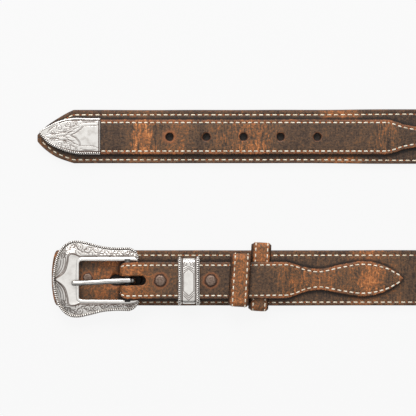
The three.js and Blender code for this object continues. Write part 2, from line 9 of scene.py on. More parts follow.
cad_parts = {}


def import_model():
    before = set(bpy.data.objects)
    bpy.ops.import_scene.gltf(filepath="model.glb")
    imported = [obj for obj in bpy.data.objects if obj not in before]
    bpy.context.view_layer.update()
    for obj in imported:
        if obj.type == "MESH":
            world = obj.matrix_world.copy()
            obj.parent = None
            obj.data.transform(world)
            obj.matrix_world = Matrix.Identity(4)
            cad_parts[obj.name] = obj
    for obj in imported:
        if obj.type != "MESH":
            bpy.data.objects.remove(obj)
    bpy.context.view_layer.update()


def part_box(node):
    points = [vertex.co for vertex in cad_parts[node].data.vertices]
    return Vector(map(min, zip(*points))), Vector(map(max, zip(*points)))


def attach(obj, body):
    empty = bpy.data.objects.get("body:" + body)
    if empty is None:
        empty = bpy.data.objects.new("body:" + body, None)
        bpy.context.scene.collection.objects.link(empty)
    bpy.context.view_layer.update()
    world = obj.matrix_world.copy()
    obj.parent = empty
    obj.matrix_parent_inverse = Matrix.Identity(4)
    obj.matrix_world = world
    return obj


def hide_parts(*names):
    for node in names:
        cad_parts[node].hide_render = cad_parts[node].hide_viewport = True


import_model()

# Sizes in millimetres, as the belt is built
MM = 0.001
GAP = 0.3
CLEAR = 9.0  # a distance at which nothing lies beside a place

BELT_SIZE = 914.0
BASE_WIDTH = 38.1
BASE_THICK = 3.0
BASE_TIP_LENGTH = 25.0
BASE_NOSE_HALF = 2.2
BASE_END_DEPTH = 4.0
BASE_TIP_SHARE = 0.965  # of its width, at the tip end
NOSE_DROP = 1.2
BASE_LINING = 0.8  # left under the base strap's slot
# The base strap's slot: left and right of the bar, and half its width
BASE_SLOT_BEFORE, BASE_SLOT_PAST, BASE_SLOT_HALF = 12.5, 9.0, 3.7
BASE_WIDENS = (180, 300)  # where the tip end's narrower strap gives way to the full width
ROWS_CROSS = (300, 800)  # where the two stitch rows change their distances from the edges
END_SHOWING = 1.5  # of the base strap past the buckle
RUN_SPACING = 97.5
FLAT_RUN = 332.0

BILLET_WIDTH = 24.2
BILLET_THICK = 2.4
BILLET_LENGTH = 322.0
HOLE_SPACING = 25.4
HOLE_COUNT = 5
HOLE_RADIUS = 2.6
TIP_TO_MIDDLE_HOLE = 142.0
RANGER_LENGTH = 80.6

CAP_INSET = 2.2
CAP_LENGTH = 41.2
CAP_WIDTH = 25.0
CAP_NOSE_HALF = 1.2
CAP_CURVE = 25.0
CAP_WALL = 0.9
CAP_RISE = 1.0
CAP_NOSE_RISE = 1.5
BASE_PULL, CAP_PULL = (0.3, 0.656), (0.36, 0.85)  # how far a point's curve is drawn along and across it

OVERLAY_WIDTH = 25.4
OVERLAY_THICK = 2.2
OVERLAY_POINT = 252.0
OVERLAY_SHIFT = 1.5
POINT_SHIFT = 0.4
RETURN_END = 127.5
FOLD_INNER = 3.2
FOLD_SLOPE = 19.0
FOLD_SLOT = 12.7
SLOT_WIDTH = 6.5
FOLD_ROUNDING = 4.2
FOLD_REACH = 5.4  # from the bar to the fold's front

BAR_PLACE = 62.5
BAR_RADIUS = 2.4
FRAME_REACH = 51.2
FRAME_APEX = 0.9
FRAME_HALF = 26.6
ARM_OVERHANG = 7.2
ARM_HALF = 21.9
WINDOW_REACH = 33.4
WINDOW_HALF = OVERLAY_WIDTH / 2 + 0.5
FRAME_DROP = 1.5
LIP_WIDTH = 2.7
LIP_HEIGHT = 2.8
ROPE_RADIUS = 0.9
ROPE_PITCH = 1.32
FRAME_RISE = 0.8

PRONG_WIDTH = 4.0
PRONG_THICK = 3.4
PRONG_LENGTH = 38.6
PRONG_LEAN = 1.8
PRONG_SEAT = LIP_HEIGHT - FRAME_DROP + 0.75

KEEPER_PLACE = 97.0
KEEPER_LENGTH = 15.0
KEEPER_HALF = 16.3
KEEPER_WALL = 1.0
KEEPER_SHIFT = 1.9

LOOP_THICK = 1.5
NARROW_PLACE, NARROW_LENGTH, NARROW_HALF, NARROW_SHIFT, NARROW_SLANT = 139.6, 11.8, 18.1, 1.3, 3.5
WIDE_PLACE, WIDE_LENGTH, WIDE_HALF, WIDE_SHIFT, WIDE_SLANT = 153.6, 11.3, 23.5, -0.8, 2.9

SNAP_PLACES = {"snap_near_buckle": 84.9, "snap_near_keepers": 119.6}
SNAP_RADIUS = 3.7
SNAP_HEIGHT = 1.6
RIVET_PLACE = 34.6
RIVET_RADIUS = 3.0
RIVET_HEIGHT = 1.0

STITCH_PITCH = 4.2
BASE_STITCH_PITCH = 4.7
FAR_ROW, NEAR_ROW = 3.5, 2.3  # from the edges of the base strap
BILLET_SHIFT = 0.4
OVERLAY_ROW = 2.3
LOOP_ROW = 1.6
LOOP_FLARE = (1.5, 0.9)  # of a loop's curled edges, on its left and its right

# Levels over the floor and places along the straps, worked out from the sizes
SEAT = BASE_THICK + GAP
RETURN_LEVEL = SEAT + KEEPER_WALL + GAP
FRONT_LEVEL = RETURN_LEVEL + OVERLAY_THICK + GAP
OVER_LOOP_LEVEL = SEAT + LOOP_THICK + GAP
BAR_HEIGHT = SEAT + OVERLAY_THICK + FOLD_INNER
LOOP_LIFT = LOOP_THICK + GAP
TIP_ROW = RUN_SPACING / 2
BUCKLE_ROW = -RUN_SPACING / 2
OVERLAY_ROW_Y = BUCKLE_ROW - OVERLAY_SHIFT
BASE_END = BAR_PLACE - FRAME_REACH - END_SHOWING
STRAP_LENGTH = TIP_TO_MIDDLE_HOLE + BELT_SIZE + BAR_PLACE - BASE_END
HOLE_START = TIP_TO_MIDDLE_HOLE - (HOLE_COUNT - 1) / 2 * HOLE_SPACING
LIFT_START = KEEPER_PLACE + KEEPER_LENGTH + 4
LIFT_TOP = WIDE_PLACE - WIDE_LENGTH / 2 - 4
LIFT_END = WIDE_PLACE + WIDE_LENGTH / 2 + 6
LIFT_FOOT = LIFT_END + 30

# The nose of the base strap and the line midway between the two runs, in the frame
NOSE_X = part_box("base_strap")[0].x / MM
MID_Y = sum(corner.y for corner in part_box("billet_overlay")) / 2 / MM - TIP_ROW


def spot(x, y, z):
    """A point given from the strap's nose, the middle line and the floor, in the frame's metres."""
    return Vector((NOSE_X + x, MID_Y + y, z)) * MM


def ease(value, start, end):
    share = min(max((value - start) / (end - start), 0.0), 1.0)
    return share * share * (3 - 2 * share)


def mix(a, b, share):
    return a + (b - a) * share


def spread(start, end, count):
    return [mix(start, end, step / (count - 1)) for step in range(count)]


def waver(x, seed, size):
    """A slow, repeatable unevenness along a strap."""
    return size * noise.noise(Vector((x * 0.02, seed, 0.0)))


def through(points, share):
    """A smooth line through points, from 0 at the first to 1 at the last."""
    last = len(points) - 1
    place = min(max(share, 0.0), 1.0) * last
    index = min(int(place), last - 1)
    t = place - index
    before, a = points[max(index - 1, 0)], points[index]
    b, after = points[index + 1], points[min(index + 2, last)]
    pull = (b - before) * 0.5 * t * (1 - t) * (1 - t) - (after - a) * 0.5 * t * t * (1 - t)
    return a * (1 - t * t * (3 - 2 * t)) + b * (t * t * (3 - 2 * t)) + pull


# Mesh helpers


def skin(name, columns, rows, place, ring=False):
    """A grid laid point by point, closed round its rows and capped, or closed end to end as a ring.

    place(i, j) gives the point, its two texture places, its material slot and how deep it is engraved, which
    on the prong and the keeper also carries painted shade."""
    bm = bmesh.new()
    bmesh.ops.create_grid(bm, x_segments=columns if ring else columns - 1, y_segments=rows, size=1)
    lie = bm.loops.layers.uv.new("along")
    edge = bm.loops.layers.uv.new("edge")
    cut = bm.verts.layers.float.new("engraved")
    wide = columns + 1 if ring else columns
    made = {}
    spots = []
    bm.verts.index_update()
    for number, vert in enumerate(bm.verts):
        i, j = number % wide % columns, number // wide % rows
        if (i, j) not in made:
            made[i, j] = place(i, j)
        facts = made[i, j]
        spots.append(facts)
        vert.co = facts[0]
        vert[cut] = facts[4] if len(facts) > 4 else 0.0
    for face in bm.faces:
        face.smooth = True
        slots = []
        for loop in face.loops:
            facts = spots[loop.vert.index]
            loop[lie].uv = facts[1]
            loop[edge].uv = facts[2]
            slots.append(facts[3])
        face.material_index = min(slots)
    bmesh.ops.remove_doubles(bm, verts=bm.verts, dist=1e-7)
    if not ring:
        bmesh.ops.holes_fill(bm, edges=[e for e in bm.edges if e.is_boundary], sides=0)
    bmesh.ops.recalc_face_normals(bm, faces=bm.faces)
    return piece_from(name, bm)


def piece_from(name, bm):
    mesh = bpy.data.meshes.new(name)
    bm.to_mesh(mesh)
    bm.free()
    piece = bpy.data.objects.new(name, mesh)
    bpy.context.scene.collection.objects.link(piece)
    return piece


def finish_piece(piece, body, materials, nodes=()):
    piece.data.materials.clear()
    for material in materials:
        piece.data.materials.append(material)
    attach(piece, body)
    if nodes:
        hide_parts(*nodes)


def prism(bm, outline, low, high):
    """A closed prism over an outline in plan, drawn from one face and extruded."""
    verts = [bm.verts.new(spot(x, y, low)) for x, y in outline]
    face = bm.faces.new(verts)
    raised = bmesh.ops.extrude_face_region(bm, geom=[face])
    moved = [item for item in raised["geom"] if isinstance(item, bmesh.types.BMVert)]
    bmesh.ops.translate(bm, verts=moved, vec=Vector((0, 0, (high - low) * MM)))
    bmesh.ops.recalc_face_normals(bm, faces=bm.faces)


def round_outline(x, y, radius, count=28):
    turns = [2 * math.pi * step / count for step in range(count)]
    return [(x + radius * math.cos(turn), y + radius * math.sin(turn)) for turn in turns]


def slot_outline(left, right, y, half, count=12):
    outline = []
    for x, start in ((right - half, -math.pi / 2), (left + half, math.pi / 2)):
        for step in range(count + 1):
            turn = start + math.pi * step / count
            outline.append((x + half * math.cos(turn), y + half * math.sin(turn)))
    return outline


def cut_out(piece, outlines, low, high, wall):
    """Cuts prisms out of a piece, whose new walls take the given material."""
    for outline in outlines:
        bm = bmesh.new()
        prism(bm, outline, low, high)
        cutter = piece_from("cutter", bm)
        cutter.data.materials.append(wall)
        cut = piece.modifiers.new("cut", "BOOLEAN")
        cut.operation = "DIFFERENCE"
        cut.solver = "EXACT"
        cut.material_mode = "TRANSFER"
        cut.object = cutter
        graph = bpy.context.evaluated_depsgraph_get()
        whole = piece.data
        piece.data = bpy.data.meshes.new_from_object(piece.evaluated_get(graph))
        piece.modifiers.clear()
        bpy.data.meshes.remove(whole)
        bpy.data.objects.remove(cutter)


# Outlines of the straps


def pointed_half(place, length, nose_half, half, pull_along, pull_across):
    """Half width of a pointed end at a place from its nose."""
    share = min(max(place / length, 0.0), 1.0)
    free = 1 - 2 * pull_along
    t = (math.sqrt(pull_along * pull_along + free * share) - pull_along) / free
    return (1 - t) ** 2 * nose_half + 2 * t * (1 - t) * pull_across * half + t * t * half


def base_half(s):
    half = BASE_WIDTH / 2 * mix(BASE_TIP_SHARE, 1, ease(s, *BASE_WIDENS))
    if s < BASE_TIP_LENGTH:
        return pointed_half(s, BASE_TIP_LENGTH, BASE_NOSE_HALF, half, *BASE_PULL)
    left = STRAP_LENGTH - s
    if left < BASE_END_DEPTH:
        share = max(left, 0.04) / BASE_END_DEPTH
        return half * math.sqrt(1 - (1 - share) ** 2)
    return half


def base_rows(s):
    """How far the two stitch rows of the base strap lie from its edges."""
    share = ease(s, *ROWS_CROSS)
    return mix(FAR_ROW, NEAR_ROW, share), mix(NEAR_ROW, FAR_ROW, share)


def nose_drop(s):
    """How far the base strap's nose lies off its middle line."""
    return -NOSE_DROP * (1 - ease(s, 10, BASE_TIP_LENGTH + 1))


# The ranger end from its point: share of its length and share of the half width
RANGER_SHARES = (
    (0.0, 0.03), (0.035, 0.24), (0.09, 0.49), (0.19, 0.8), (0.34, 0.965), (0.52, 0.81),
    (0.7, 0.59), (0.84, 0.69), (0.94, 0.9), (1.0, 1),
)


def ranger_stations(half, count=70):
    """Distances from the ranger point with the half width there."""
    points = [Vector((share * RANGER_LENGTH, wide * half)) for share, wide in RANGER_SHARES]
    return [through(points, step / count) for step in range(count + 1)]


RANGER_LINE = ranger_stations(1.0)


def cap_half(x):
    return pointed_half(x, CAP_CURVE, CAP_NOSE_HALF, CAP_WIDTH / 2, *CAP_PULL)


def cap_shift(x):
    """How far the metal tip bends up toward its nose."""
    return CAP_RISE * (1 - ease(x, 10, 34)) + CAP_NOSE_RISE * (1 - ease(x, 0, 7))


# Route of the base strap


def unit_turn(steps=240):
    """A half turn of length 1, whose heading eases in and out."""
    points = [Vector((0.0, 0.0))]
    for step in range(steps):
        heading = math.pi * ease((step + 0.5) / steps, 0, 1)
        points.append(points[-1] + Vector((math.cos(heading), math.sin(heading))) / steps)
    return points


TURN = unit_turn()
TURN_LENGTH = RUN_SPACING / TURN[-1].y
TURN_START = (STRAP_LENGTH - TURN_LENGTH + BASE_END) / 2


def lift_at(x):
    return LOOP_LIFT * (ease(x, LIFT_START, LIFT_TOP) - ease(x, LIFT_END, LIFT_FOOT))


def base_route(s):
    """Place, row, heading and roll of the base strap at a length along it."""
    if s <= TURN_START:
        return s, TIP_ROW, 0.0, math.pi / 2 * ease(s, FLAT_RUN, TURN_START)
    past = (s - TURN_START) / TURN_LENGTH
    if past < 1:
        index = min(int(past * (len(TURN) - 1)), len(TURN) - 2)
        point = TURN[index].lerp(TURN[index + 1], past * (len(TURN) - 1) - index) * TURN_LENGTH
        return TURN_START + point.x, TIP_ROW - point.y, math.pi * ease(past, 0, 1), math.pi / 2
    x = TURN_START - (s - TURN_START - TURN_LENGTH)
    return x, BUCKLE_ROW, math.pi, math.pi / 2 * ease(x, FLAT_RUN, TURN_START)


def base_point(s, v, w):
    """A point of the base strap: s along it, v across it, w over its underside."""
    x, y, heading, roll = base_route(s)
    lift = lift_at(x) if y == BUCKLE_ROW else 0.0
    left = Vector((math.sin(heading), math.cos(heading), 0))
    upward = Vector((0, 0, 1))
    across = left * math.cos(roll) - upward * math.sin(roll)
    up = left * math.sin(roll) + upward * math.cos(roll)
    height = BASE_WIDTH / 2 * math.sin(roll) + BASE_THICK / 2 * math.cos(roll) + lift
    centre = spot(x, y, height)
    return centre + (across * v + up * (w - BASE_THICK / 2)) * MM


# Sections of the straps: place across, height over the underside, distance from the edge, back or front


def strap_side(half, thick, depths, row, furrow, crown, round_top=0.8, round_low=0.5):
    """Points of half a strap's section, from near the middle of its top round its edge."""
    room = min(1.0, 0.92 * half / depths[-1])
    points = []
    for depth in reversed(depths):
        edge = depth * room
        dip = furrow * math.exp(-(((edge - row * room) / 0.55) ** 2))
        swell = crown * (1 - ((half - edge) / half) ** 2)
        points.append((half - edge, thick - dip + swell, edge, 0))
    for turn in (70, 45, 20, 0):
        angle = math.radians(turn)
        edge = round_top * room * (1 - math.cos(angle))
        points.append((half - edge, thick - round_top * (1 - math.sin(angle)), edge * 0.6, 0))
    for turn in (-20, -50, -90):
        angle = math.radians(turn)
        edge = round_low * room * (1 - math.cos(angle))
        points.append((half - edge, round_low * (1 + math.sin(angle)), edge, 1))
    for share in (0.8, 0.45):
        points.append((half * share, 0.0, half * (1 - share), 1))
    return points


def strap_section(half, thick, depths, rows, furrow, crown):
    """Points round a strap's section, from the middle of its top round its edges."""
    right = strap_side(half, thick, depths, rows[0], furrow, crown)
    other = strap_side(half, thick, depths, rows[1], furrow, crown)
    left = [(-v, w, edge, back) for v, w, edge, back in reversed(other)]
    return [(0.0, thick + crown, half, 0), *right, (0.0, 0.0, half, 1), *left]


# Distances from a strap's edge at which its section has a point
BASE_DEPTHS = (1.0, 1.6, 2.0, 2.5, 3.0, 3.5, 4.0, 4.8, 5.8, 6.8, 7.8, 9.0, 12.0)
OVERLAY_DEPTHS = (1.0, 1.5, 1.9, 2.3, 2.7, 3.2, 4.2, 6.0, 8.5)


def ranger_half(distance, half):
    """Half width of an overlay at a distance from its ranger point."""
    if distance < 0:
        return 0.0
    for a, b in zip(RANGER_LINE, RANGER_LINE[1:]):
        if distance <= b.x:
            return mix(a.y, b.y, (distance - a.x) / max(b.x - a.x, 1e-6)) * half
    return half


# This distance feeds painted shade, with some grime, that darkens the base strap beside and under the
# overlays.
def beside_overlay(s, v):
    """How far a place on the base strap lies outside the overlay sewn on it, in millimetres."""
    if s < STRAP_LENGTH / 2:
        if s < CAP_INSET + CAP_LENGTH:
            half = cap_half(s - CAP_INSET) if s > CAP_INSET else -4.0
            return min(max(abs(v - cap_shift(s - CAP_INSET)) - half, -2.0), CLEAR)
        past_end = s - BILLET_LENGTH
        half = ranger_half(-past_end, BILLET_WIDTH / 2)
        middle = -BILLET_SHIFT
    else:
        x = STRAP_LENGTH + BASE_END - s
        past_end = max(x - OVERLAY_POINT, BAR_PLACE - FOLD_REACH - x)
        half = ranger_half(OVERLAY_POINT - x, OVERLAY_WIDTH / 2)
        middle = BUCKLE_ROW - overlay_row(x)
    return min(max(abs(v - middle) - half, past_end, -2.0), CLEAR)


def make_base_strap():
    stations = [BASE_TIP_LENGTH * share**1.4 for share in spread(0, 1, 26)]
    stations += spread(BASE_TIP_LENGTH + 3, FLAT_RUN, 100)
    stations += spread(FLAT_RUN + 3, STRAP_LENGTH - FLAT_RUN - 3, 150)
    stations += spread(STRAP_LENGTH - FLAT_RUN, STRAP_LENGTH - BASE_END_DEPTH, 110)
    stations += [STRAP_LENGTH - BASE_END_DEPTH * (1 - math.sin(turn)) for turn in spread(0.12, 1.5, 12)]
    sections = [
        strap_section(base_half(s), BASE_THICK, BASE_DEPTHS, base_rows(s), 0.22, 0.0) for s in stations
    ]

    def place(i, j):
        s = stations[i]
        v, w, edge, back = sections[i][j]
        side = waver(s, 3.0 if v > 0 else 7.0, 0.3) * (v / (BASE_WIDTH / 2)) + nose_drop(s)
        return base_point(s, v + side, w), (s * MM, v * MM), (edge, beside_overlay(s, v + side)), back

    strap = skin("base_strap_leather", len(stations), len(sections[0]), place)
    left, right = BAR_PLACE - BASE_SLOT_BEFORE, BAR_PLACE + BASE_SLOT_PAST
    slot = slot_outline(left, right, OVERLAY_ROW_Y, BASE_SLOT_HALF)
    # The slot's walls and floor take a pale leather, partly painted light in the deep slot.
    cut_out(strap, [slot], BASE_LINING, BASE_THICK + 1, MATERIALS["slot_wall_painted_light"])
    coats = [MATERIALS["base_leather"], MATERIALS["flesh_side"], MATERIALS["slot_wall_painted_light"]]
    finish_piece(strap, "strap", coats, ["base_strap"])


def make_billet():
    half = BILLET_WIDTH / 2
    nose_at = CAP_INSET + CAP_WALL + GAP
    inner_half = CAP_WIDTH / 2 - CAP_WALL - GAP
    cap_end = CAP_INSET + CAP_LENGTH
    stations = [
        (nose_at + x, pointed_half(x, CAP_CURVE, CAP_NOSE_HALF, inner_half, *CAP_PULL))
        for x in (CAP_CURVE * share for share in spread(0, 1, 10))
    ]
    stations += [(cap_end + 0.2, inner_half), (cap_end + 0.35, half)]
    ranger = [(BILLET_LENGTH - point.x, point.y) for point in reversed(ranger_stations(half))]
    stations += [(x, half) for x in spread(cap_end + 2, ranger[0][0] - 2, 66)]
    stations += ranger
    sections = [
        strap_section(wide, BILLET_THICK, OVERLAY_DEPTHS, (OVERLAY_ROW, OVERLAY_ROW), 0.25, 0.25)
        for _, wide in stations
    ]

    def place(i, j):
        x = stations[i][0]
        v, w, edge, back = sections[i][j]
        side = waver(x, 11.0 if v > 0 else 15.0, 0.25) * (v / half) - BILLET_SHIFT
        side += cap_shift(x - CAP_INSET) * (1 - ease(x, 20, 34))
        # The distance from the metal tip feeds painted shade, with some grime, just beside it.
        from_cap = min(0.6 + 2.4 * max(x - cap_end, 0), CLEAR)
        return spot(x, TIP_ROW + v + side, SEAT + w), (x * MM, v * MM), (edge, from_cap), back

    billet = skin("billet_leather", len(stations), len(sections[0]), place)
    row = TIP_ROW - BILLET_SHIFT
    holes = [round_outline(HOLE_START + i * HOLE_SPACING, row, HOLE_RADIUS) for i in range(HOLE_COUNT)]
    # The hole walls are coloured near black: painted shade inside the holes.
    cut_out(billet, holes, SEAT - 1, SEAT + BILLET_THICK + 2, MATERIALS["hole_wall_painted_shade"])
    coats = [MATERIALS["billet_leather"], MATERIALS["flesh_side"], MATERIALS["hole_wall_painted_shade"]]
    finish_piece(billet, "strap", coats, ["billet_overlay"])


# Route of the buckle overlay, from its point along the front layer, round the bar and back beneath


def front_level(x):
    over_loops = (OVER_LOOP_LEVEL - SEAT) * (1 - ease(x, LIFT_END, LIFT_END + 18))
    over_return = (FRONT_LEVEL - OVER_LOOP_LEVEL) * (1 - ease(x, RETURN_END + 1, LIFT_TOP + 4))
    over_bar = (BAR_HEIGHT + FOLD_INNER - FRONT_LEVEL) * (1 - ease(x, BAR_PLACE, BAR_PLACE + FOLD_SLOPE))
    return SEAT + over_loops + over_return + over_bar + lift_at(x)


def back_level(x):
    fold_bottom = BAR_HEIGHT - FOLD_INNER - OVERLAY_THICK
    return mix(fold_bottom, RETURN_LEVEL, ease(x, BAR_PLACE, BAR_PLACE + FOLD_SLOPE)) + lift_at(x)


def overlay_row(x):
    return BUCKLE_ROW - mix(OVERLAY_SHIFT, POINT_SHIFT, ease(x, RETURN_END, OVERLAY_POINT))


def overlay_route():
    """Stations of the buckle overlay: centre, up direction, length from the point, half width."""
    half = OVERLAY_WIDTH / 2
    thick = OVERLAY_THICK / 2
    fold = FOLD_INNER + thick
    line = [(OVERLAY_POINT - point.x, point.y) for point in ranger_stations(half)]
    line += [(x, half) for x in spread(line[-1][0] - 2, BAR_PLACE, 76)]
    points = [(x, front_level(x) + thick, wide) for x, wide in line]
    for turn in spread(0, math.pi, 25)[1:-1]:
        x = BAR_PLACE - fold * math.sin(turn)
        rounding = FOLD_ROUNDING * (1 - math.sqrt(1 - (0.97 * math.sin(turn)) ** 2))
        points.append((x, BAR_HEIGHT + fold * math.cos(turn), half - rounding))
    points += [(x, back_level(x) + thick, half) for x in spread(BAR_PLACE, RETURN_END, 30)]
    stations = []
    length = 0.0
    for i, (x, z, wide) in enumerate(points):
        before, after = points[max(i - 1, 0)], points[min(i + 1, len(points) - 1)]
        travel = Vector((after[0] - before[0], 0, after[1] - before[1])).normalized()
        if i:
            length += math.hypot(x - points[i - 1][0], z - points[i - 1][1])
        up = travel.cross(Vector((0, -1, 0)))
        stations.append((Vector((x, overlay_row(x), z)), up, length, wide))
    return stations


def overlay_point(station, v, w):
    centre, up, _, _ = station
    point = centre + Vector((0, -v, 0)) + up * (w - OVERLAY_THICK / 2)
    return spot(*point)


def make_buckle_overlay():
    stations = overlay_route()
    sections = [
        strap_section(wide, OVERLAY_THICK, OVERLAY_DEPTHS, (OVERLAY_ROW, OVERLAY_ROW), 0.22, 0.2)
        for _, _, _, wide in stations
    ]

    def place(i, j):
        length = stations[i][2]
        v, w, edge, back = sections[i][j]
        side = waver(length, 21.0 if v > 0 else 25.0, 0.25) * (v / (OVERLAY_WIDTH / 2))
        return overlay_point(stations[i], v + side, w), (length * MM, v * MM), (edge, CLEAR), back

    overlay = skin("buckle_overlay_leather", len(stations), len(sections[0]), place)
    left = BAR_PLACE - FOLD_INNER - 6
    slot = slot_outline(left, BAR_PLACE + FOLD_SLOT, OVERLAY_ROW_Y, SLOT_WIDTH / 2)
    # The slot's walls take a pale leather, partly painted light in the deep slot.
    cut_out(overlay, [slot], 0, BAR_HEIGHT + 9, MATERIALS["slot_wall_painted_light"])
    coats = [MATERIALS["overlay_leather"], MATERIALS["flesh_side"], MATERIALS["slot_wall_painted_light"]]
    finish_piece(overlay, "strap", coats, ["buckle_overlay"])


# Stitches: short rounded threads laid along rows, with the dark pinched spot between them


def walk(points, pitch, start=0.0):
    """Places along a line of (point, up) pairs, one each pitch, with the direction of travel."""
    places = []
    wanted = start
    run = 0.0
    for (a, up), (b, _) in zip(points, points[1:]):
        length = (b - a).length
        while length > 0 and wanted <= run + length:
            places.append((a.lerp(b, (wanted - run) / length), (b - a) / length, up))
            wanted += pitch
        run += length
    return places


def sweep(name, row, pitch, steps, around, shape, start=0.0):
    """A closed skin along a row of (point, up) pairs, whose shape comes again with each pitch.

    shape(step, turn) gives the offsets across and over the row, and how deep in a groove it is."""
    stations = walk(row, pitch / steps, start)

    def place(i, j):
        point, ahead, up = stations[i]
        side = up.cross(ahead).normalized()
        across, over, deep = shape(i, 2 * math.pi * j / around)
        return point + side * across + up * over, (i * pitch / steps, j * MM), (1.0, 0.0), 0, deep

    return skin(name, len(stations), around, place)


STITCH_STEPS = 9
FIRST_STITCH = 1.0
THREAD_DIVE, THREAD_CREST = -0.7, 0.1  # lowest and highest middle of a thread, over the leather
PINCH_DIVE, PINCH_CREST = -0.4, 0.02
PINCH_HALF, PINCH_HEIGHT = 0.62, 0.1
BASE_ROW_STARTS = {1: 5.0, -1: 2.6}
BASE_ROW_STEP = 1.5
BASE_ROW_END = 3.2


def sew(name, rows, width=0.95, height=0.42, holes=True, material="thread", pitch=STITCH_PITCH):
    """Rows of stitches, whose thread dives between them into dark pinched spots."""

    def thread(step, turn):
        phase = step % STITCH_STEPS / (STITCH_STEPS - 2)
        arch = (4 * phase * (1 - phase)) ** 0.4 if 0 < phase < 1 else 0.0
        wide = width / 2 * mix(0.5, 1, arch) * (1 + 0.1 * math.sin(step * 2.3))
        over = math.sin(turn) * height * arch + mix(THREAD_DIVE, THREAD_CREST, arch)
        return math.cos(turn) * wide * MM, over * MM, 0.0

    def pinch(step, turn):
        near = 1 - (((step - STITCH_STEPS + 5) % STITCH_STEPS - 4) / 1.7) ** 2
        arch = math.sqrt(max(near, 0.0))
        over = math.sin(turn) * PINCH_HEIGHT * arch + mix(PINCH_DIVE, PINCH_CREST, arch)
        return math.cos(turn) * PINCH_HALF * arch * MM, over * MM, 0.0

    for number, row in enumerate(rows):
        layers = [("stitches", 8, thread, material)]
        if holes:
            layers.append(("stitch_holes", 6, pinch, "stitch_hole"))
        for kind, around, shape, coat in layers:
            label = f"{name}_{kind}_{number}"
            piece = sweep(label, row, pitch * MM, STITCH_STEPS, around, shape, FIRST_STITCH * MM)
            finish_piece(piece, "strap", [MATERIALS[coat]])


def base_stitch_row(side, back=False):
    """A row along one edge of the base strap, on its front or its back."""
    row = []
    start = BASE_ROW_STARTS[side]
    count = int((STRAP_LENGTH - start - BASE_ROW_END) / BASE_ROW_STEP)
    for s in [start + BASE_ROW_STEP * step for step in range(count)]:
        inset = base_rows(s)[0 if side > 0 else 1] + ease(-s, -BASE_TIP_LENGTH, 0) * 1.2
        v = side * max(base_half(s) - inset, 0.2) + nose_drop(s)
        w = -0.02 if back else BASE_THICK - 0.12
        here = base_point(s, v, w)
        over = base_point(s, v, w + (-1 if back else 1))
        row.append((here, (over - here).normalized()))
    return row


def sew_base():
    """The base strap's two rows on its front, and the flatter ones that show on its back."""
    for name, back, width, height in (("base_front", False, 0.85, 0.35), ("base_back", True, 0.9, 0.22)):
        rows = [base_stitch_row(side, back) for side in (1, -1)]
        sew(name, rows, width, height, not back, "base_thread", BASE_STITCH_PITCH)


def billet_stitch_rows():
    half = BILLET_WIDTH / 2
    flat = [(x, half) for x in spread(CAP_INSET + CAP_LENGTH - 3, BILLET_LENGTH - RANGER_LENGTH, 80)]
    ranger = [(BILLET_LENGTH - p.x, p.y) for p in reversed(ranger_stations(half))]

    def place(x, v):
        return spot(x, TIP_ROW - BILLET_SHIFT + v, SEAT + BILLET_THICK + 0.05)

    return [offset_row(flat + ranger, side, place) for side in (1, -1)]


def offset_row(outline, side, place):
    """A stitch row that keeps its distance from an outline of places and half widths."""
    row = []
    for (x0, h0), (x1, h1) in zip(outline, outline[1:]):
        ahead = Vector((x1 - x0, h1 - h0)).normalized()
        x, v = x1 + ahead.y * OVERLAY_ROW, h1 - abs(ahead.x) * OVERLAY_ROW
        if v > 0.3:
            row.append((place(x, side * v), Vector((0, 0, 1))))
    return row


def overlay_stitch_rows():
    """Rows down both edges of the buckle overlay's front, from its point over the fold."""
    stations = overlay_route()
    rows = []
    for side in (1, -1):
        row = []
        for i in range(1, len(stations)):
            centre, up, _, wide = stations[i]
            before = stations[i - 1]
            step = (centre - before[0]).length
            slope = (wide - before[3]) / max(step, 1e-6)
            lean = math.sqrt(1 + slope * slope)
            v = wide - OVERLAY_ROW / lean
            if wide < OVERLAY_ROW * 1.3:
                continue
            if up.z < 0.3:
                break
            at_point = centre.x > OVERLAY_POINT - RANGER_LENGTH
            shift = Vector((-slope / lean * OVERLAY_ROW, 0, 0)) if at_point else Vector()
            point = centre - shift + Vector((0, -side * v, 0)) + up * (OVERLAY_THICK / 2)
            row.append((spot(*point), up))
        rows.append(row)
    return rows


# Leather loops


def loop_outline(half, low, high, corner, count):
    """Points round a loop's section with their outward directions, starting at the middle of its top."""
    corner = min(corner, (high - low) / 2 - 0.01)
    straight = half - corner
    upright = (high - low) / 2 - corner
    middle = (high + low) / 2
    quarter = math.pi / 2 * corner
    whole = 4 * (straight + upright + quarter)
    points = []
    for step in range(count):
        run = whole * step / count
        sign = 1
        if run > whole / 2:
            run, sign = whole - run, -1
        if run < straight:
            point, out = (run, high), (0, 1)
        elif run < straight + quarter:
            turn = math.pi / 2 - (run - straight) / corner
            point = (straight + corner * math.cos(turn), high - corner + corner * math.sin(turn))
            out = (math.cos(turn), math.sin(turn))
        elif run < straight + quarter + 2 * upright:
            point, out = (half, middle + upright - (run - straight - quarter)), (1, 0)
        elif run < straight + 2 * quarter + 2 * upright:
            turn = -(run - straight - quarter - 2 * upright) / corner
            point = (straight + corner * math.cos(turn), low + corner + corner * math.sin(turn))
            out = (math.cos(turn), math.sin(turn))
        else:
            point, out = (straight - (run - straight - 2 * quarter - 2 * upright), low), (0, -1)
        points.append(((sign * point[0], point[1]), (sign * out[0], out[1])))
    return points


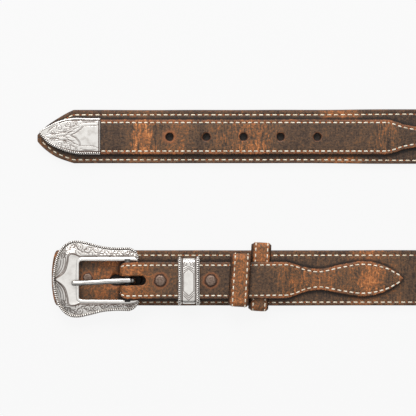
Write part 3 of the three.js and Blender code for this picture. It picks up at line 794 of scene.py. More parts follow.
def make_leather_loop(name, node, place_x, length, half, shift, slant, low, high, lift):
    """A leather loop with rounded, curled edges, laid slanting round the strap, and its two stitch rows.

    lift raises it with the strap that it lies round."""
    outline = loop_outline(half, low, high, 3.2, 120)
    edges = (0.0, 0.25, 0.8, LOOP_ROW - 0.4, LOOP_ROW, LOOP_ROW + 0.4, 3.2)
    profile = []
    for edge in edges:
        rise = -0.55 * (1 - min(edge / 0.8, 1.0)) ** 2 - 0.16 * math.exp(-(((edge - LOOP_ROW) / 0.35) ** 2))
        profile.append((edge, rise))
    columns = [(-LOOP_FLARE[0] * out, -0.5 - 0.9 * out, -1.5 * out) for out in (1.0, 0.5)]
    columns += [(edge, rise, edge) for edge, rise in profile]
    columns += [(length - edge, rise, edge) for edge, rise in reversed(profile)]
    columns += [(length + LOOP_FLARE[1] * out, -0.5 - 0.9 * out, -1.5 * out) for out in (0.5, 1.0)]
    inner = [(length - 0.5, -LOOP_THICK, -1.0), (0.5, -LOOP_THICK, -1.0)]
    lean = math.radians(-slant)

    def world(x, y, z):
        x -= length / 2
        turned_x = x * math.cos(lean) - y * math.sin(lean)
        turned_y = x * math.sin(lean) + y * math.cos(lean)
        at = place_x + turned_x
        return spot(at, BUCKLE_ROW - shift + turned_y, z + (lift_at(at) if lift else 0.0))

    def place(i, j):
        x, rise, edge = (columns + inner)[i]
        (y, z), (out_y, out_z) = outline[j]
        bulge = 0.25 * math.sin(math.pi * min(max(x / length, 0), 1)) if i < len(columns) else 0.0
        run = (j / len(outline) + 0.5) % 1 * 4 * half
        rise += 0.12 * noise.noise(Vector((x * 0.3, y * 0.25, half)))
        point = world(x, y + out_y * (rise + bulge), z + out_z * (rise + bulge))
        return point, (run * MM, x * MM), (edge, CLEAR), 0

    loop = skin(name, len(columns) + len(inner), len(outline), place, ring=True)
    finish_piece(loop, "strap", [MATERIALS[name + "_leather"]], [node])
    rows = []
    for x in (LOOP_ROW, length - LOOP_ROW):
        row = []
        for (y, z), (out_y, out_z) in outline[len(outline) // 2 :] + outline[: len(outline) // 2 + 1]:
            here = world(x, y + out_y * 0.08, z + out_z * 0.08)
            row.append((here, Vector((0, out_y, out_z))))
        rows.append(row)
    sew(name, rows, width=0.85)


def make_leather_loops():
    top = FRONT_LEVEL + OVERLAY_THICK + GAP + LOOP_THICK
    narrow = (NARROW_PLACE, NARROW_LENGTH, NARROW_HALF, NARROW_SHIFT, NARROW_SLANT)
    make_leather_loop("narrow_loop", "leather_keeper_narrow", *narrow, SEAT, top, True)
    wide = (WIDE_PLACE, WIDE_LENGTH, WIDE_HALF, WIDE_SHIFT, WIDE_SLANT)
    make_leather_loop("wide_loop", "leather_keeper_wide", *wide, 0.0, LOOP_LIFT + SEAT + LOOP_THICK, False)


# Engraving: lines in plan, read as grooves by how near a point lies to them


def scroll(x, y, size, turns, start, hand):
    """A spiral that winds inward, for engraved scrollwork."""
    points = []
    for step in range(46):
        share = step / 45
        radius = size * (1 - 0.86 * share)
        turn = math.radians(start) + hand * share * turns * 2 * math.pi
        points.append(Vector((x + radius * math.cos(turn), y + radius * math.sin(turn))))
    return points


def stroke(x0, y0, x1, y1, bend, count=14):
    """A curved cut from one place to another, bowed to its left by bend."""
    a, b = Vector((x0, y0)), Vector((x1, y1))
    side = Vector((a.y - b.y, b.x - a.x)).normalized() * bend
    return [a.lerp(b, t) + side * 4 * t * (1 - t) for t in spread(0, 1, count)]


def mirrored(lines):
    return lines + [[Vector((point.x, -point.y)) for point in line] for line in lines]


def fine(line, step=0.14):
    points = []
    for a, b in zip(line, line[1:]):
        count = max(1, int((b - a).length / step))
        points += [a.lerp(b, k / count) for k in range(count)]
    return points + [line[-1]]


def groove_reader(lines):
    """A function that gives how near a point in plan lies to the lines."""
    points = [point for line in lines for point in fine(line)]
    tree = kdtree.KDTree(len(points))
    for number, point in enumerate(points):
        tree.insert((point.x, point.y, 0), number)
    tree.balance()
    return lambda x, y: tree.find((x, y, 0))[2]


def groove(distance, width):
    return max(0.0, 1 - (distance / width) ** 2)


# Buckle frame: a band round a U, worked out in sections from its outer edge to the window

# Shares of the frame's reach and half width for the outer edge, of the window's for the inner edge, and how
# far across the engraved border lies
FRAME_SHARES = (
    (0.0, 0.823, 0.0, 1.0, 0.825),
    (0.16, 0.82, 0.22, 1.0, 0.82),
    (0.33, 0.85, 0.48, 1.0, 0.83),
    (0.5, 0.93, 0.7, 1.0, 0.86),
    (0.65, 0.992, 0.86, 1.0, 0.85),
    (0.75, 0.99, 0.95, 0.99, 0.785),
    (0.83, 0.93, 0.985, 0.95, 0.6),
    (0.895, 0.81, 1.0, 0.86, 0.47),
    (0.945, 0.63, 1.0, 0.62, 0.515),
    (0.98, 0.36, 1.0, 0.34, 0.49),
    (0.992, 0.2, 1.0, 0.19, 0.41),
    (0.998, 0.09, 1.0, 0.085, 0.28),
    (1.0, 0.0, 1.0, 0.0, 0.14),
)


def frame_rows():
    rise = Vector((0, FRAME_RISE))
    rows = []
    for turn in (0.0, 0.35, 0.7, 1.05, 1.35):
        x = ARM_OVERHANG * math.cos(turn)
        full = math.sin(turn)
        outer = Vector((x, mix(WINDOW_HALF + 0.9, ARM_HALF, full)))
        rows.append((outer, Vector((x, WINDOW_HALF)), Vector((0.8, full))))
    for out_x, out_y, in_x, in_y, border in FRAME_SHARES:
        outer = Vector((-out_x * FRAME_REACH - FRAME_APEX * ease(out_x, 0.85, 1), out_y * FRAME_HALF))
        inner = Vector((-in_x * WINDOW_REACH, in_y * WINDOW_HALF))
        rows.append((outer, inner, Vector((border, 1.0))))
    flipped = [
        (Vector((outer.x, -outer.y)), Vector((inner.x, -inner.y)), facts)
        for outer, inner, facts in reversed(rows[:-1])
    ]
    return [(outer + rise, inner, facts) for outer, inner, facts in rows + flipped]


FRAME_ROWS = frame_rows()


def frame_station(share):
    outer, inner, facts = (through([row[k] for row in FRAME_ROWS], share) for k in range(3))
    return outer, inner, facts.x, min(max(facts.y, 0.0), 1.0)


def frame_to_row(point, height):
    """A point of the buckle, given from the bar's axis, in the frame at rest."""
    tilt = math.asin((BAR_HEIGHT - FRAME_DROP - SEAT) / FRAME_REACH)
    x = point.x * math.cos(tilt) - height * math.sin(tilt)
    z = point.x * math.sin(tilt) + height * math.cos(tilt)
    return spot(BAR_PLACE + x, OVERLAY_ROW_Y + point.y, BAR_HEIGHT + z)


def frame_section(width, border, full, plate_rows=26):
    """Distance from the outer edge, height over the underside and kind of surface, round the band."""
    squeeze = min(1.0, width / 7.6)
    edge = 2.0 * squeeze
    lip = LIP_WIDTH * squeeze
    crest_at = min(max(border * width, edge + 0.4), width - lip - 0.1)
    rise = mix(0.62, 1, full)
    lip_top = LIP_HEIGHT * rise
    crest = lip_top + 0.19 * (width - lip - crest_at)
    low = FRAME_DROP * 0.8 * (1 - full)
    section = [
        (0.6 * squeeze, low, "side"),
        (0.15 * squeeze, low + 0.4 * rise, "side"),
        (0.0, 1.1 * rise, "side"),
        (0.35 * squeeze, 1.6 * rise, "bed"),
        (1.0 * squeeze, 1.7 * rise, "bed"),
        (1.7 * squeeze, 1.6 * rise, "bed"),
    ]
    for step in range(plate_rows):
        share = step / (plate_rows - 1)
        height = mix(2.0 * rise, crest, math.sin(share * math.pi / 2) ** 0.9)
        section.append((mix(edge, crest_at, share), height, "plate"))
    for step in range(1, 11):
        share = step / 10
        sag = 0.22 * math.sin(math.pi * share) * (width - lip - crest_at) / 10
        height = mix(crest, lip_top - 0.12, share) - sag
        section.append((mix(crest_at, width - lip, share), height, "bevel"))
    for back, height in ((0.93, -0.28), (0.84, 0.02), (0.5, 0.06), (0.25, 0.0), (0.1, -0.16), (0.02, -0.5)):
        section.append((width - lip * back, lip_top + height, "lip"))
    section += [(width, lip_top * 0.4, "side"), (width - 0.4 * squeeze, low, "under")]
    section += [(width * share, low, "under") for share in (0.75, 0.5, 0.3)]
    return section


def frame_engraving():
    """Border lines, scrolls and leaf cuts of one half of the buckle, and their mirror image."""
    count = 160
    border, inner_line = [], []
    for step in range(count + 1):
        outer, inner, share, full = frame_station(step / count)
        width = (inner - outer).length
        at = outer.lerp(inner, min(share, 1 - (LIP_WIDTH * min(1, width / 8) + 0.15) / width))
        border.append(at)
        inner_line.append(at + (outer - inner).normalized() * 0.85)
    curls = [
        (-45.4, 16.2, 1.9, 1.4, 250, 1),
        (-42.8, 20.4, 2.2, 1.4, 200, -1),
        (-38.4, 23.3, 2.1, 1.4, 230, 1),
        (-33.2, 21.6, 2.9, 1.6, 160, -1),
        (-27.4, 20.6, 2.6, 1.5, 200, 1),
        (-22.0, 19.4, 2.3, 1.45, 160, -1),
        (-17.2, 19.3, 1.9, 1.4, 200, 1),
        (-12.6, 18.7, 1.9, 1.4, 160, -1),
        (-8.2, 18.9, 1.7, 1.3, 200, 1),
        (-4.0, 18.5, 1.7, 1.3, 160, -1),
        (0.2, 18.4, 1.6, 1.3, 200, 1),
        (3.6, 17.2, 1.3, 1.1, 160, -1),
    ]
    lines = [scroll(*curl) for curl in curls]
    for (x, y, size, _, start, hand), nxt in zip(curls, curls[1:]):
        root = Vector((x + size * math.cos(math.radians(start)), y + size * math.sin(math.radians(start))))
        tip = Vector((nxt[0] - nxt[2] * 0.2, nxt[1] + hand * nxt[2]))
        lines.append(stroke(root.x, root.y, tip.x, tip.y, 0.8 * hand))
        for leaf in range(4):
            turn = math.radians(start + 55 + leaf * 38)
            near = Vector((x + size * 1.05 * math.cos(turn), y + size * 1.05 * math.sin(turn)))
            far = Vector((x + size * 1.6 * math.cos(turn + 0.5), y + size * 1.6 * math.sin(turn + 0.5)))
            lines.append(stroke(near.x, near.y, far.x, far.y, 0.3 * hand, 7))
    fans = [
        stroke(-49.2, 1.4, -42.9, 14.6, -2.3),
        stroke(-49.6, 2.6, -44.5, 13.8, -1.8),
        stroke(-49.8, 4.4, -46.3, 12.8, -1.0),
        stroke(-48.6, 8.6, -47.6, 14.0, 0.7),
    ]
    return border, inner_line, mirrored(lines), mirrored(fans)


def make_frame_body():
    border, inner_line, scrolls, fans = frame_engraving()
    near_border = groove_reader([border, inner_line])
    near_scroll = groove_reader(scrolls)
    near_fan = groove_reader(fans)
    columns = 620
    stations = [frame_station(step / (columns - 1)) for step in range(columns)]
    sections = [
        frame_section((inner - outer).length, share, full) for outer, inner, share, full in stations
    ]

    def place(i, j):
        outer, inner, _, _ = stations[i]
        distance, height, kind = sections[i][j]
        flat = outer + (inner - outer).normalized() * distance
        cut = 0.0
        if kind in ("plate", "bevel"):
            cut = 0.85 * groove(near_border(flat.x, flat.y), 0.44)
        if kind == "plate":
            inside = ease(distance, 2.1, 2.5)
            cut = max(cut, 0.8 * inside * groove(near_scroll(flat.x, flat.y - FRAME_RISE), 0.38))
            cut = max(cut, 0.8 * inside * groove(near_fan(flat.x, flat.y - FRAME_RISE), 0.38))
        if kind == "bed":
            cut = 0.9
        point = frame_to_row(flat, height - FRAME_DROP - 0.2 * cut * (kind != "bed"))
        return point, (flat.x * MM, flat.y * MM), (distance, 1 if kind == "plate" else 0), 0, cut

    body = skin("buckle_frame_silver", columns, len(sections[0]), place)
    finish_piece(body, "frame", [MATERIALS["silver"]], ["buckle_frame"])


def bead_rope(name, line, radius, pitch, body, depth=1.0, material="rope_silver"):
    """A cast rope edge: slanting beads wound round a line of (point, up) pairs."""
    steps = 8
    lay = 1.1

    def bead(step, turn):
        phase = 2 * math.pi * step / steps + lay * (turn - math.pi / 2)
        bulge = abs(math.cos(phase / 2))
        reach = radius * (1 - 0.5 * depth * (1 - bulge))
        return math.cos(turn) * reach, math.sin(turn) * reach, depth * (1 - ease(bulge, 0.5, 0.88))

    rope = sweep(name, line, pitch, steps, 20, bead)
    finish_piece(rope, body, [MATERIALS[material]])


def make_frame_rope():
    line = []
    for share in spread(0.012, 0.988, 500):
        outer, inner, _, full = frame_station(share)
        flat = outer + (inner - outer).normalized() * 0.95
        line.append((frame_to_row(flat, 1.95 * mix(0.62, 1, full) - FRAME_DROP), Vector((0, 0, 1))))
    bead_rope("buckle_frame_rope", line, ROPE_RADIUS * MM, ROPE_PITCH * MM, "frame")


def tube(name, route, section, body, material, nodes=(), painted_side_shade=0.0):
    """A rod through stations of (point, side direction, up direction, width share, height share).

    The last argument says how much painted shade, carried as engraving, darkens its sides."""
    reach = max(y for y, _ in section)

    def place(i, j):
        point, side, up, wide, high = route[i]
        y, z = section[j]
        side_shade = painted_side_shade * ease(abs(y) / reach, 0.6, 1.0)
        return point + side * y * wide + up * z * high, (i * MM, j * MM), (1.0, 0.0), 0, side_shade

    rod = skin(name, len(route), len(section), place)
    finish_piece(rod, body, [material], nodes)


def soft_square(half_wide, half_high, power, count=24):
    """A rounded section between a circle and a square, in metres."""
    points = []
    for step in range(count):
        turn = 2 * math.pi * step / count
        c, s = math.cos(turn), math.sin(turn)
        y = math.copysign(abs(c) ** power, c) * half_wide
        z = math.copysign(abs(s) ** power, s) * half_high
        points.append((y * MM, z * MM))
    return points


def make_bar():
    half = WINDOW_HALF + 1.5
    section = soft_square(BAR_RADIUS, BAR_RADIUS, 1.0)
    route = [
        (frame_to_row(Vector((0, y)), 0), Vector((1, 0, 0)), Vector((0, 0, 1)), 1, 1)
        for y in spread(-half, half, 5)
    ]
    tube("buckle_bar", route, section, "frame", MATERIALS["bar_silver"])


def make_prong():
    """The prong lies on the rail, humps over the bar and closes round it behind a small collar."""
    thick = PRONG_THICK / 2
    ring = BAR_RADIUS + GAP + thick
    tip = PRONG_SEAT + 1.45
    line = []
    for share in [0, 0.004, 0.012, 0.024, 0.04] + spread(0.06, 1, 24):
        x = mix(-PRONG_LENGTH, 0, share)
        sag = 0.55 * math.sin(math.pi * share)
        full = math.sqrt(max(1 - (1 - min(share / 0.045, 1.0)) ** 2, 0.03))
        line.append((x, mix(tip, ring, ease(share, 0.05, 0.95)) + sag, full))
    for turn in spread(0, 1.5 * math.pi, 56)[1:]:
        collar = 1 - 0.2 * math.exp(-(((turn - 0.66) / 0.1) ** 2))
        line.append((ring * math.sin(turn), ring * math.cos(turn), collar))
    route = []
    for i, (x, z, full) in enumerate(line):
        before, after = line[max(i - 1, 0)], line[min(i + 1, len(line) - 1)]
        ahead = Vector((after[0] - before[0], 0, after[1] - before[1])).normalized()
        lean = -PRONG_LEAN * ease(-x, 0, PRONG_LENGTH)
        here = frame_to_row(Vector((x, lean)), z)
        beyond = frame_to_row(Vector((x + ahead.x, lean)), z + ahead.z)
        ahead = (beyond - here).normalized()
        side = Vector((0, 1, 0))
        taper = mix(0.9, 1.0, ease(x, -PRONG_LENGTH, -10))
        high = full * mix(0.85, 1, ease(x, -PRONG_LENGTH, -10))
        route.append((here, side, ahead.cross(side), full * taper, high))
    section = soft_square(PRONG_WIDTH / 2, thick, 1.0, 28)
    coat = MATERIALS["prong_silver"]
    # Painted shade on the prong's sides, which turn away from the light.
    tube("buckle_prong_silver", route, section, "prong", coat, ["buckle_prong"], painted_side_shade=0.95)


# Metal keeper


def keeper_engraving():
    """Lines on the keeper's plate: the six-sided panel, scrolls over it and chevrons at both its ends."""
    left, right = 3.9, 10.9
    middle = (left + right) / 2
    shoulder, top = 5.2, 8.3
    hip, foot = -6.9, -10.2
    upper = [(left, shoulder), (middle, top), (right, shoulder)]
    lower = [(right, hip), (middle, foot), (left, hip), (left, shoulder)]
    lines = [[Vector(corner) for corner in upper + lower]]
    lines += [
        scroll(middle - 2.2, 11.2, 1.7, 1.3, 250, -1),
        scroll(middle + 2.2, 11.2, 1.7, 1.3, 290, 1),
        scroll(middle, 13.6, 1.2, 1.0, 270, 1),
    ]
    for drop in (1.5, 3.0):
        below = [(left, hip - drop), (middle, foot - drop), (right, hip - drop)]
        above = [(left, shoulder + drop), (middle, top + drop * 0.6), (right, shoulder + drop)]
        lines += [[Vector(corner) for corner in chevron] for chevron in (below, above)]
    lines.append(stroke(left, 9.6, left + 1.6, 13.8, 0.6))
    lines.append(stroke(right, 9.6, right - 1.6, 13.8, -0.6))
    return lines


# Across the keeper, from its left edge: place, and height over its section's line
KEEPER_STOPS = (
    (0.0, 0.1), (0.4, 0.35), (2.3, 0.3), (2.6, -0.15), (3.2, -0.15), (3.5, 0.2), (3.8, 0.3),
    (11.1, 0.3), (11.4, 0.2), (11.7, -0.15), (12.1, -0.15), (12.4, 0.3), (14.6, 0.35), (15.0, 0.1),
)
KEEPER_ROPES = {"a": (1.15, 0.95), "b": (13.6, 1.15)}  # place and radius


def keeper_height(x):
    for (x0, h0), (x1, h1) in zip(KEEPER_STOPS, KEEPER_STOPS[1:]):
        if x <= x1:
            return mix(h0, h1, (x - x0) / (x1 - x0))
    return KEEPER_STOPS[-1][1]


def make_metal_keeper():
    low = SEAT
    high = FRONT_LEVEL + OVERLAY_THICK + GAP + 1.2
    outline = loop_outline(KEEPER_HALF - 0.9, low, high, 3.0, 320)
    near_line = groove_reader(keeper_engraving())
    places = sorted({x for x, _ in KEEPER_STOPS} | {3.8 + 0.24 * step for step in range(31)})
    columns = [(x, keeper_height(x)) for x in places]
    inner = [(KEEPER_LENGTH - 0.2, -0.75), (0.2, -0.75)]

    def place(i, j):
        x, rise = (columns + inner)[i]
        (y, z), (out_y, out_z) = outline[j]
        cut = 0.0
        if i < len(columns) and out_z > 0.3 and 3.7 < x < 11.2:
            cut = 0.85 * groove(near_line(x, y), 0.34)
            # Painted shade: the keeper's lower end, turned away from the light, is darkened as if engraved.
            cut = max(cut, 0.3 * ease(-y, 8.6, 10.6))
        if i < len(columns) and rise < 0:
            cut = 1.0
        drop = rise - 0.2 * cut * (rise > 0)
        point = spot(KEEPER_PLACE + x, BUCKLE_ROW - KEEPER_SHIFT + y + out_y * drop, z + out_z * drop)
        return point, (x * MM, y * MM), (1.0, 0.0), 0, cut

    keeper = skin("keeper_silver", len(columns) + len(inner), len(outline), place, ring=True)
    finish_piece(keeper, "keeper", [MATERIALS["silver"]], ["metal_keeper"])
    for letter, (x, radius) in KEEPER_ROPES.items():
        line = []
        for (y, z), (out_y, out_z) in outline + outline[:1]:
            height = max(z + out_z * 0.4, low + radius)
            here = spot(KEEPER_PLACE + x, BUCKLE_ROW - KEEPER_SHIFT + y + out_y * 0.4, height)
            line.append((here, Vector((0, out_y, out_z))))
        bead_rope("keeper_rope_" + letter, line, radius * MM, ROPE_PITCH * MM, "keeper")


# Metal tip


# The bare panel's border on the metal tip, from its point to the straight end
PANEL_UPPER = (
    (21.6, 0.6), (25.2, 2.4), (28.1, 4.6), (29.9, 6.8), (33.2, 7.0), (38.9, 7.2), (40.7, 8.5),
)
PANEL_LOWER = (
    (21.6, 0.6), (25.2, -1.2), (27.4, -3.7), (28.1, -6.6), (33.2, -6.3), (37.5, -7.0), (40.7, -8.4),
)
CAP_RIM = 1.5  # width of the metal tip's rim where it is widest


def cap_engraving():
    """Lines on the metal tip: its bare panel and the scrolls toward its nose."""
    upper = [Vector(p) for p in PANEL_UPPER]
    lower = [Vector(p) for p in PANEL_LOWER]
    lines = [upper, lower]
    lines += [[point + Vector((-0.75, 0.25)) for point in upper[:4]]]
    lines += [[point + Vector((-0.75, -0.25)) for point in lower[:4]]]
    lines += mirrored(
        [
            scroll(8.6, 2.6, 1.8, 1.3, 180, 1),
            scroll(13.4, 5.6, 2.4, 1.5, 200, -1),
            scroll(19.4, 8.2, 2.3, 1.5, 180, 1),
            scroll(24.6, 8.9, 1.5, 1.3, 190, -1),
            stroke(3.4, 0.4, 13.0, 1.6, 0.7),
            stroke(5.0, 2.4, 11.8, 7.2, 0.8),
            stroke(9.8, 0.9, 19.6, 2.4, 0.9),
            stroke(11.0, 3.4, 20.8, 4.4, -0.9),
            stroke(15.0, 2.6, 24.4, 5.4, -1.1),
            stroke(16.4, 4.9, 23.4, 6.9, -0.7),
            stroke(13.4, 8.6, 17.6, 10.6, 0.4),
            stroke(22.0, 10.2, 27.0, 10.4, 0.4),
            stroke(27.6, 8.6, 38.6, 9.2, 0.5),
            stroke(28.6, 9.9, 39.0, 10.4, -0.3),
            stroke(6.6, 4.2, 8.4, 5.4, 0.2),
            stroke(16.0, 6.6, 18.4, 6.2, 0.4),
            stroke(11.6, 0.2, 20.6, 1.3, -0.5),
            stroke(17.8, 0.9, 23.6, 3.3, 0.5),
            stroke(20.4, 6.0, 26.4, 7.4, 0.6),
            stroke(21.4, 4.9, 27.0, 6.4, -0.4),
            stroke(25.0, 10.6, 31.0, 11.0, 0.3),
            scroll(17.2, 3.6, 1.3, 1.2, 20, 1),
        ]
    )
    return lines


def make_tip_cap():
    near_line = groove_reader(cap_engraving())
    roof = SEAT + BILLET_THICK + GAP + CAP_WALL
    stations = [CAP_LENGTH * share**1.35 for share in spread(0, 1, 150)]
    depths = [0.5, 1.0, 1.55, 1.75] + spread(2.0, 12.4, 40)

    def section_at(x):
        half = cap_half(x)
        room = half / (CAP_WIDTH / 2)
        right = []
        for depth in reversed(depths):
            edge = depth * room
            rim = CAP_RIM * room
            height = roof + (0.12 if edge > rim else -0.05)
            height += 0.22 * (1 - ((half - edge) / half) ** 2) if edge > rim else 0
            right.append((half - edge, height, edge))
        right += [(half - 0.12, roof - 0.25, 0.0), (half, roof - 0.8, 0.0), (half, SEAT + 0.1, 0.0)]
        right += [(half - 0.25, SEAT, 0.0), (half - 0.8, SEAT + 0.05, 0.0)]
        left = [(-v, z, edge) for v, z, edge in reversed(right)]
        return [*right, *left]

    sections = [section_at(x) for x in stations]

    def place(i, j):
        x = stations[i]
        v, z, edge = sections[i][j]
        cut = 0.0
        if edge > CAP_RIM * cap_half(x) / (CAP_WIDTH / 2):
            cut = 0.75 * groove(near_line(x, v + cap_shift(x)), 0.36)
            beside_rim = abs(edge * CAP_WIDTH / 2 / cap_half(x) - 1.85)
            beside_end = abs(x - CAP_LENGTH + 0.8)
            # Painted highlight: the border line beside the rim is narrower on the upper side than on the
            # lower.
            cut = max(cut, groove(beside_rim, 0.6 if v < 0 else 0.35), groove(beside_end, 0.6))
        elif 0 < edge:
            cut = 0.8
        drop = 0.18 * cut if edge > CAP_RIM else 0
        point = spot(CAP_INSET + x, TIP_ROW + v + cap_shift(x), z - drop)
        return point, (x * MM, v * MM), (1.0, 0.0), 0, cut

    cap = skin("tip_silver", len(stations), len(sections[0]), place)
    finish_piece(cap, "strap", [MATERIALS["tip_silver"]], ["tip_cap"])
    side = [(x, cap_half(x) - 0.8) for x in [CAP_LENGTH * share**1.5 for share in spread(0, 1, 120)]]
    # Painted highlight: the upper rope has shallow beads with little dark between them, so the upper rim
    # shows pale.
    for name, hand, radius, depth, material in (
        ("lower", -1, 0.85, 1.0, "rope_silver"),
        ("upper", 1, 0.6, 0.15, "tip_silver"),
    ):
        line = [
            (spot(CAP_INSET + x, TIP_ROW + hand * v + cap_shift(x), roof), Vector((0, 0, 1)))
            for x, v in side
        ]
        bead_rope("tip_rope_" + name, line, radius * MM, ROPE_PITCH * MM, "strap", depth, material)


# Snaps and rivet: turned caps with a soft crown


# From the middle of a cap's crown down to its foot: share of its radius and share of its height
CROWN_SHARES = (
    (0.0, 1.0), (0.4, 0.99), (0.7, 0.94), (0.88, 0.84), (0.97, 0.66), (1.0, 0.4), (0.98, 0.0), (0.0, 0.0),
)


def turned_cap(name, x, y, low, radius, height, node):
    bm = bmesh.new()
    verts = [bm.verts.new(spot(x + radius * out, y, low + height * up)) for out, up in CROWN_SHARES]
    for a, b in zip(verts, verts[1:]):
        bm.edges.new((a, b))
    bmesh.ops.spin(
        bm,
        geom=bm.verts[:] + bm.edges[:],
        cent=spot(x, y, 0),
        axis=(0, 0, 1),
        angle=2 * math.pi,
        steps=40,
        use_merge=True,
    )
    bmesh.ops.remove_doubles(bm, verts=bm.verts, dist=1e-6)
    bmesh.ops.recalc_face_normals(bm, faces=bm.faces)
    for face in bm.faces:
        face.smooth = True
    cap = piece_from(name, bm)
    finish_piece(cap, "strap", [MATERIALS["old_bronze"]], [node])


def make_fasteners():
    for node, x in SNAP_PLACES.items():
        low = front_level(x) + OVERLAY_THICK + 0.1
        turned_cap(node + "_cap", x, OVERLAY_ROW_Y, low, SNAP_RADIUS, SNAP_HEIGHT, node)
    turned_cap("rivet_head", RIVET_PLACE, BUCKLE_ROW, BASE_THICK, RIVET_RADIUS, RIVET_HEIGHT, "base_rivet")


# Materials


def feed(tree, socket, value):
    """Links a node's output to a socket, or sets the socket to a constant."""
    if isinstance(value, bpy.types.NodeSocket):
        tree.links.new(value, socket)
    else:
        socket.default_value = value


def add(tree, kind, inputs=(), **settings):
    node = tree.nodes.new(kind)
    for key, value in settings.items():
        setattr(node, key, value)
    for key, value in dict(inputs).items():
        feed(tree, node.inputs[key], value)
    return node


def calc(tree, operation, a, b, clamp=False):
    return add(tree, "ShaderNodeMath", {0: a, 1: b}, operation=operation, use_clamp=clamp).outputs[0]


def plus(tree, a, b, clamp=False):
    return calc(tree, "ADD", a, b, clamp)


def times(tree, a, b):
    return calc(tree, "MULTIPLY", a, b)


def swing(tree, source, size):
    """A noise's swing to both sides of its middle, scaled."""
    return times(tree, calc(tree, "SUBTRACT", source, 0.5), size)


def span(tree, value, low, high, to_low=0.0, to_high=1.0):
    """Maps a range of a value on to another, softly, and stops at its ends."""
    inputs = {"Value": value, "From Min": low, "From Max": high, "To Min": to_low, "To Max": to_high}
    return add(tree, "ShaderNodeMapRange", inputs, interpolation_type="SMOOTHSTEP").outputs[0]


def ramp(tree, factor, stops):
    node = add(tree, "ShaderNodeValToRGB", {0: factor})
    elements = node.color_ramp.elements
    while len(elements) < len(stops):
        elements.new(0.5)
    for element, (position, colour) in zip(elements, stops):
        element.position = position
        element.color = colour
    return node.outputs[0]


def blend_colour(tree, factor, a, b):
    return add(tree, "ShaderNodeMix", {0: factor, 6: a, 7: b}, data_type="RGBA").outputs[2]


def tint(red, green, blue):
    """A colour given as it shows on a screen, from 0 to 255, in the renderer's linear light."""

    def linear(value):
        share = value / 255
        return share / 12.92 if share <= 0.04045 else ((share + 0.055) / 1.055) ** 2.4

    return (linear(red), linear(green), linear(blue), 1)


def dimmed(red, green, blue, shade):
    colour = tint(red, green, blue)
    return (colour[0] * shade, colour[1] * shade, colour[2] * shade, 1)


def noise_of(tree, vector, scale, detail=3.0, rough=0.5, warp=0.0):
    inputs = {"Vector": vector, "Scale": scale, "Detail": detail, "Roughness": rough, "Distortion": warp}
    return add(tree, "ShaderNodeTexNoise", inputs).outputs[0]


def object_place(tree):
    return add(tree, "ShaderNodeTexCoord").outputs["Object"]


def texture_place(tree, name):
    return add(tree, "ShaderNodeUVMap", uv_map=name).outputs[0]


def stretched(tree, vector, scale):
    return add(tree, "ShaderNodeMapping", {"Vector": vector, "Scale": scale}).outputs[0]


def new_group(name, inputs, outputs):
    tree = bpy.data.node_groups.new(name, "ShaderNodeTree")
    for label, kind, value in inputs:
        socket = tree.interface.new_socket(label, in_out="INPUT", socket_type=kind)
        if value is not None:
            socket.default_value = value
    for label, kind in outputs:
        tree.interface.new_socket(label, in_out="OUTPUT", socket_type=kind)
    return tree, tree.nodes.new("NodeGroupInput"), tree.nodes.new("NodeGroupOutput")


# Colours of the leather from its darkest to its most worn
LEATHER_TONES = (
    (0.0, tint(34, 23, 15)),
    (0.2, tint(56, 39, 28)),
    (0.4, tint(87, 64, 45)),
    (0.56, tint(114, 77, 47)),
    (0.72, tint(148, 90, 50)),
    (0.86, tint(178, 109, 60)),
    (1.0, tint(204, 138, 84)),
)


